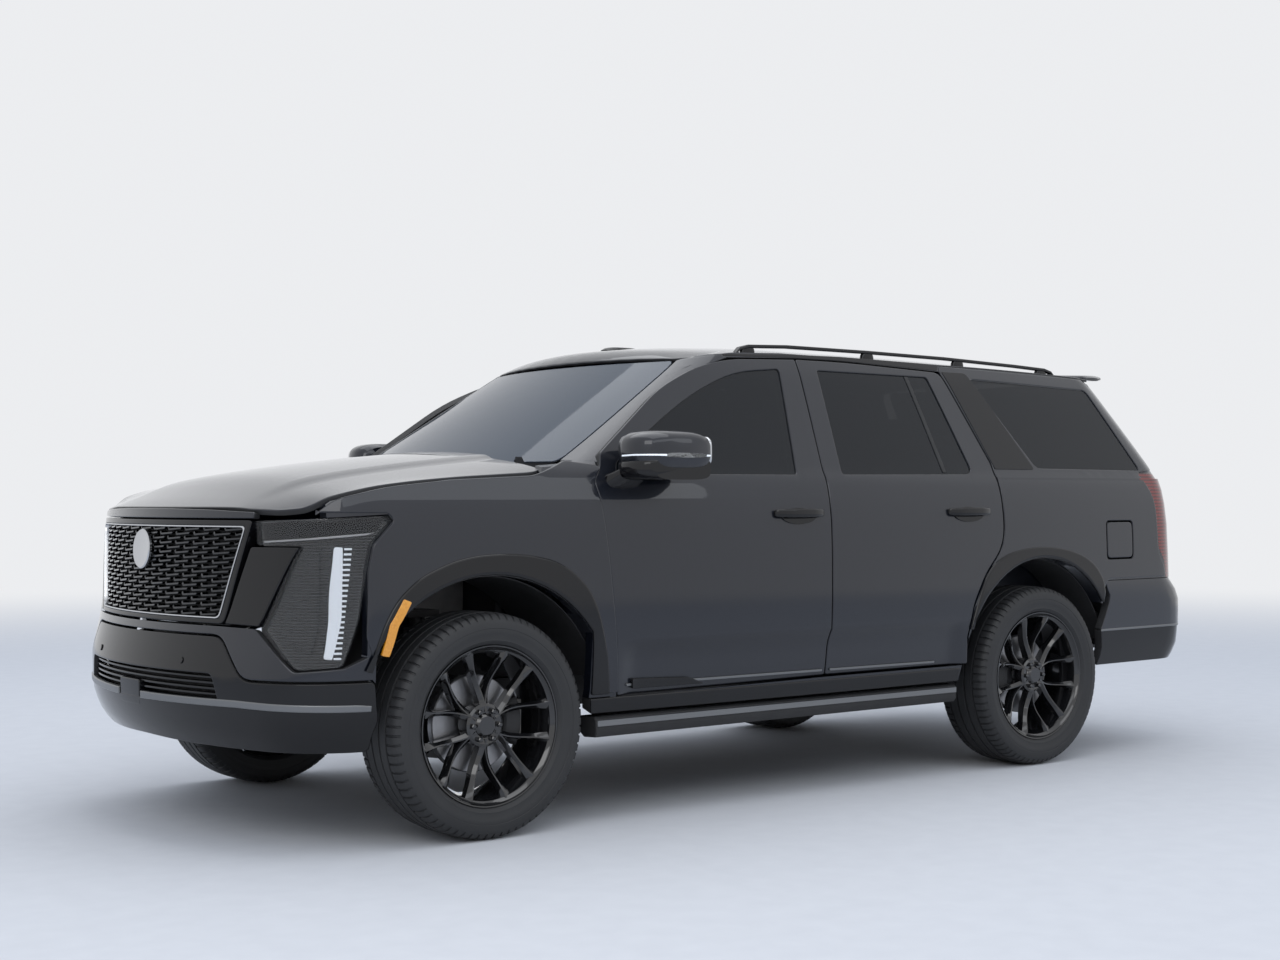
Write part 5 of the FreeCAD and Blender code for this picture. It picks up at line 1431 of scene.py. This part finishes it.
rails = lofted("roof_rail_left", [(x, RAIL_Y, under_rail(x) + RAIL_RISE + d, .015, .008)
                                  for x, d in RAIL_LINE], 0, [gloss], power=3.5)
for k, x in enumerate((.22, -.50, -1.10, -1.70)):
    foot = lofted("roof_rail_foot_%d_left" % k, [(under_rail(x) + h, x, RAIL_Y, a, b) for h, a, b in (
        (-.028, .044, .011), (.010, .036, .011), (.022, .026, .009))], 2, [gloss], power=4)
    both_sides(foot, "body", "gloss_black")
both_sides(rails, "body", "gloss_black", "roof_rails")
pod = lofted("roof_pod", [(z, x, .0, a, b) for z, x, a, b in (
    (1.900, .36, .105, .052), (1.922, .36, .100, .048), (1.932, .355, .086, .038),
    (1.936, .35, .06, .024))], 2, [gloss], power=2.6)
given(pod, "body", "gloss_black")

# Door mirrors: a body-colour shell on a black base and arm, with the glass behind and a clear
# repeater lamp round the outer end.
MIRROR = ((.985, .985, 1.425, .128, .072), (1.000, .985, 1.428, .150, .082),
          (1.040, .982, 1.431, .166, .083),
          (1.100, .975, 1.433, .168, .081), (1.150, .965, 1.433, .158, .076),
          (1.176, .952, 1.433, .134, .064), (1.187, .945, 1.433, .100, .046))
shell = lofted("mirror_shell_left", MIRROR, 1, [paint], power=3.4, count=48)
one_each_side(shell, "door_front", "body_paint", "mirror")
base = lofted("mirror_base_left", [(y, x, z - .066, a * 1.01, .044) for y, x, z, a, b in MIRROR[1:6]], 1,
              [gloss], power=4, count=48)
one_each_side(base, "door_front", "gloss_black")
arm = lofted("mirror_arm_left", [(.930, 1.105, 1.300, .085, .044), (.965, 1.100, 1.312, .080, .040),
                                 (1.000, 1.085, 1.335, .070, .032), (1.040, 1.060, 1.362, .070, .026)], 1,
             [gloss], power=3, count=40)
one_each_side(arm, "door_front", "gloss_black")
repeater = lofted("mirror_lamp_left", [(y, x, z - .016, a * 1.01, .009) for y, x, z, a, b in MIRROR[2:]], 1,
                  [glow], power=3.2, count=48)
one_each_side(repeater, "door_front", "lamp_clear")
face = lofted("mirror_glass_left", [(x, y, z, a, b) for x, y, z, a, b in (
    (.812, 1.085, 1.433, .078, .060), (.806, 1.085, 1.433, .080, .062), (.800, 1.085, 1.433, .078, .060))],
              0,
    [bright], power=4)
one_each_side(face, "door_front", "screen_glass")

# Door handles: a moulded gloss black grip bar that stands off a shallow bowl, screwed to the
# door skin from inside.
GRIP_HEIGHT = 1.180
for end, middle in (("front", .206), ("rear", -.842)):
    skin_y = door_sheet.place(door_sheet.along(GRIP_HEIGHT, x=middle), GRIP_HEIGHT).y
    grip = [(middle + s * .138, skin_y + off, 1.189, t, h) for s, off, t, h in (
        (-1.0, .002, .004, .010), (-.95, .010, .008, .015), (-.8, .021, .009, .017),
        (-.4, .028, .009, .018),
        (0, .029, .009, .018), (.4, .028, .009, .018), (.8, .021, .009, .017), (.95, .010, .008, .015),
        (1.0, .002, .004, .010))]
    bar = lofted("%s_handle_left" % end, grip, 0, [gloss], power=3, count=28)
    one_each_side(bar, "door_" + end, "gloss_black")
    bowl = [(middle + .098 * math.cos(a), 1.176 + .034 * math.sin(a)) for a in around(24)]
    cup = pressed("%s_handle_bowl_left" % end, door_sheet, bowl, [gloss], wall=0.006, step=0.02, gap=0.0,
                  roll=0.001, proud=0.0052, corner=0.002)
    one_each_side(cup, "door_" + end, "gloss_black")

# Door strips: a thin satin line bonded along each door's foot, with a raised gloss black
# blade at its front.
for name, body, points, proud, chosen in (
        ("front_door_strip", "door_front", ((1.092, .524), (1.092, .534), (.050, .530), (.050, .520)), .007,
         satin),
        ("front_door_blade", "door_front", ((1.062, .513, .01), (1.066, .552, .01), (.775, .541, .02),
                                            (.700, .513, .01)), .014, gloss),
        ("rear_door_strip", "door_rear", ((.004, .520), (.004, .530), (-.640, .526), (-.640, .516)), .007,
         satin)):
    strip = pressed(name + "_left", door_sheet, points, [chosen], wall=0.014, step=0.05, gap=0.0,
                    roll=0.0015, proud=proud, corner=0.003)
    one_each_side(strip, body, "black_plastic")

# Arch mouldings: moulded gloss black over-fenders, clipped round each wheel opening and deeper
# at the lip, with an amber marker lamp let into each front one.
FLARES = {
    "front": (AXLES[0], 24, 144, [(1.264, .700), (1.262, .500, .01), (1.176, .500, .01), (1.192, .640),
                                  (1.219, .748),
              (1.241, .822), (1.283, .906), (1.360, .976), (1.440, 1.019), (1.560, 1.044), (1.680, 1.050),
              (1.790, 1.044), (1.887, 1.025), (2.016, .974), (2.106, .900), (2.160, .815), (2.196, .720),
                                  (2.214, .660)]),
    "rear": (AXLES[1], 26, 143, [(-1.812, .742, .005), (-1.826, .790, .01), (-1.806, .858), (-1.747, .926),
             (-1.660, .973), (-1.555, 1.002), (-1.440, 1.018), (-1.332, 1.022), (-1.220, 1.016),
                                 (-1.100, .996),
             (-.996, .951), (-.940, .890), (-.899, .808), (-.866, .720), (-.846, .655, .005)]),
}
for end, (axle, start, finish_at, rest) in FLARES.items():
    outline = arc(axle, ARCH + .002, start, finish_at, 20) + rest
    reach = [(p[0], p[1], p[2] if len(p) > 2 else .05) for p in outline]
    piece = pressed("%s_arch_left" % end, side_sheet if end == "rear" else lower, reach, [gloss],
                    wall=0.060, step=0.03, gap=0.0, roll=0.008, proud=0.010)
    both_sides(piece, "body", "gloss_black", *(["arch_flares"] if end == "front" else []))
amber, shader, place = finish("amber_marker", (0.75, 0.30, 0.02), 0.12, Coat_Weight=1.0)
rib = noise(place, 120.0, 1.0)
feed(shader, "Base Color", rib.mix((0.62, 0.22, 0.01, 1), (0.85, 0.38, 0.03, 1)))
MARKER = [side_at(x, z, .006) for x, z in ((2.090, .896), (2.058, .884), (2.110, .800), (2.145, .694),
                                           (2.176, .700), (2.145, .808))]
marker = pressed("side_marker_left", lower, MARKER, [amber], wall=0.012, step=0.02, gap=0.0, roll=0.002,
                 proud=0.014, flat=True)
both_sides(marker, "body", "lamp_red")

# Sills: black covers clipped below the doors, and moulded running boards on brackets with a
# satin edge strip.
SILL = ((1.250, .424, .01), (1.262, .486, .01), (-.800, .486, .01), (-.800, .424, .01))
sill = pressed("sill_cover_left", side_sheet, SILL, [gloss, grained], wall=0.06, step=0.05, gap=0.0,
               roll=0.006, proud=.003)
both_sides(sill, "body", "gloss_black")
BOARD_SECTION = ((.866, .352), (.866, .402), (.882, .412), (.968, .412), (.982, .404), (.985, .392),
                 (.985, .352), (.972, .334), (.900, .330))
STRIP_SECTION = ((.9835, .374), (.9895, .377), (.9895, .399), (.9835, .402))
board = block(BOARD_SECTION, -.790, 1.232, .004, axis=0)
board = shape("running_board_left", *oriented(*board), [grained])
strip = block(STRIP_SECTION, -.785, 1.227, .002, axis=0)
strip = shape("board_strip_left", *oriented(*strip), [satin])
both_sides(board, "body", "black_plastic", "running_boards")
both_sides(strip, "body", "black_plastic")


class Behind(Sheet):
    """A skin measured from the middle of the tail: a reach above 0 is to the right."""

    def __init__(self, sheet):
        self.sheet = sheet
        self.full = sheet.marks[5]

    def place(self, reach, height):
        point = self.sheet.place(self.full - abs(reach), height)
        point.y = -math.copysign(point.y, reach)
        return point

    def across(self, y, height, corner=0.02):
        low, high = 0.0, 1.6
        for _ in range(30):
            middle = (low + high) / 2
            if abs(self.place(middle, height).y) < abs(y):
                low = middle
            else:
                high = middle
        return math.copysign(low, y), height, corner

    def beside(self, x, height, hand, corner=0.02):
        return hand * (self.full - self.sheet.along(height, x=x)), height, corner


# Liftgate: a steel shell with a broad window above and a recessed, blank plate bed below. A
# thin spoiler carries the roof on over the glass.
tail_low = Behind(lower)
tail_high = Behind(upper)
GATE_GLASS = [tail_high.across(y, z, .03) for y, z in ((-.690, 1.400), (.690, 1.400), (.600, 1.760),
                                                       (-.600, 1.760))]
UPPER_GATE = [tail_high.across(y, z, .015) for y, z in (
    (-.800, 1.382), (.800, 1.382), (.790, 1.480), (.718, 1.700), (.676, 1.846), (-.676, 1.846),
    (-.718, 1.700), (-.790, 1.480))]
skin = pressed("gate_upper_skin", tail_high, UPPER_GATE, [paint, grained], holes=[GATE_GLASS], wall=0.012,
               step=0.05, gap=0.002, flat=True)
given(skin, "tailgate", "body_paint", "liftgate")
glass = pressed("gate_glass", tail_high, GATE_GLASS, [tint], wall=0.006, step=0.07, gap=-0.003, roll=0.0005,
                proud=-0.002, flat=True)
given(glass, "tailgate", "dark_glass", "liftgate_glass")
PLATE_BED = [tail_low.across(y, z, .02) for y, z in ((-.300, .960), (.300, .960), (.290, 1.130),
                                                     (-.290, 1.130))]
LOWER_GATE = [tail_low.across(y, z, .02) for y, z in ((-.785, .772), (.785, .772), (.796, 1.376),
                                                      (-.796, 1.376))]
skin = pressed("gate_lower_skin", tail_low, LOWER_GATE, [paint, grained], holes=[PLATE_BED], wall=0.020,
               step=0.05, gap=0.002, flat=True, rows=(1.254,))
given(skin, "tailgate", "body_paint")
bed = pressed("plate_bed", tail_low, PLATE_BED, [grained], wall=0.004, step=0.05, gap=-0.004, roll=0.001,
              proud=-0.018, flat=True)
given(bed, "tailgate", "body_paint")
GARNISH = [tail_low.across(y, z, .006) for y, z in ((-.560, 1.150), (.560, 1.150), (.560, 1.176),
                                                    (-.560, 1.176))]
strip = pressed("gate_garnish", tail_low, GARNISH, [bright], wall=0.014, step=0.05, gap=0.0, roll=0.003,
                proud=0.006, flat=True)
given(strip, "tailgate", "body_paint")
spoiler = lofted("gate_spoiler", [(y, x, z, a, b) for y, x, z, a, b in (
    (-.690, -2.135, 1.852, .050, .008), (-.670, -2.145, 1.858, .082, .014),
    (-.40, -2.158, 1.874, .096, .016),
    (0.0, -2.162, 1.880, .098, .016), (.40, -2.158, 1.874, .096, .016), (.670, -2.145, 1.858, .082, .014),
    (.690, -2.135, 1.852, .050, .008))], 1, [paint], power=2.4, count=36)
given(spoiler, "tailgate", "body_paint")

# Rear bumper: moulded covers clipped over a steel bar, body colour above and gloss black
# below, with a thin satin line between them.
for name, low, high, chosen, proud, slot, wall in (
        ("rear_bumper_cover", .612, .848, paint, -.0005, "body_paint", .040),
        ("rear_lower_cover", .436, .608, gloss, -.004, "gloss_black", .040),
        ("rear_bumper_line", .602, .614, satin, .0, "black_plastic", .012)):
    ends = [tail_low.beside(-1.808, low, hand)[0] for hand in (-1, 1)] + [
        tail_low.beside(-1.812 - max(high - .70, 0) * .16, high, hand)[0] for hand in (1, -1)]
    outline = [(reach, z, .006) for reach, z in zip(ends, (low, low, high, high))]
    cover = pressed(name, tail_low, outline, [chosen, grained], wall=wall, step=0.05, gap=0.0, roll=0.003,
                    proud=proud, flat=True)
    given(cover, "body", slot, *(["rear_bumper"] if slot == "body_paint" else []))


# Tail lamps: tall moulded red lenses let into the rear corners. Seats: grained black leather
# stretched over foam, seen through the side windows.
red, shader, place = finish("tail_red", (0.10, 0.006, 0.006), 0.08, Coat_Weight=0.5)
rib = place.add("ShaderNodeSeparateXYZ", None, {0: place}, 2) * 60.0
rib = rib.maths("FRACT", rib).between(0.4, 0.6)
feed(shader, "Base Color", rib.mix((0.070, 0.004, 0.005, 1), (0.18, 0.010, 0.010, 1)))
leather, shader, place = finish("seat_leather", (0.030, 0.029, 0.030), 0.5)
grain = cells(place, 420.0)
feed(shader, "Base Color", grain.mix((0.024, 0.023, 0.024, 1), (0.040, 0.038, 0.038, 1)))
roughen(shader, grain, 0.0004)


# Underbody: pressed steel rails with stove enamel, bare iron and steel castings, the exhaust's
# aluminised pipe and the moulded carpet on the floor.
def metal(name, dark, light, roughness, metallic):
    material, shader, place = finish(name, dark, roughness, Metallic=metallic)
    cloud = noise(place, 18.0, 6.0)
    feed(shader, "Base Color", cloud.mix((*dark, 1), (*light, 1)))
    feed(shader, "Roughness", cloud * 0.25 + (roughness - 0.12))
    fine = noise(place, 300.0, 2.0)
    roughen(shader, fine, 0.0003)
    return material


enamel = metal("frame_enamel", (0.012, 0.012, 0.013), (0.03, 0.029, 0.028), 0.45, 0.2)
casting = metal("bare_casting", (0.16, 0.155, 0.15), (0.28, 0.27, 0.26), 0.5, 0.8)
pipe = metal("exhaust_pipe", (0.20, 0.17, 0.13), (0.36, 0.33, 0.29), 0.35, 0.9)
carpet = metal("floor_carpet", (0.014, 0.014, 0.015), (0.03, 0.03, 0.032), 0.9, 0.0)

# The rest of the construction solids, such as the seats, frame and suspension, show as they
# are, each in the finish of its own material.
slot_finish = {"body_paint": paint, "gloss_black": gloss, "dark_glass": tint, "screen_glass": clear,
               "lamp_clear": lens, "lamp_red": red, "wheel_black": wheel_black, "tyre_rubber": tyre_rubber,
               "frame_steel": enamel, "pipe_steel": pipe, "cast_iron": casting, "cast_steel": casting,
               "floor_steel": carpet, "seat_leather": leather}
for name, item in nodes.items():
    slot = [p["material_slot"] for p in frame["record"]["subparts"] if p["node"] == name][0]
    chosen = slot_finish.get(slot, grained)
    for socket in item.material_slots:
        socket.material = chosen
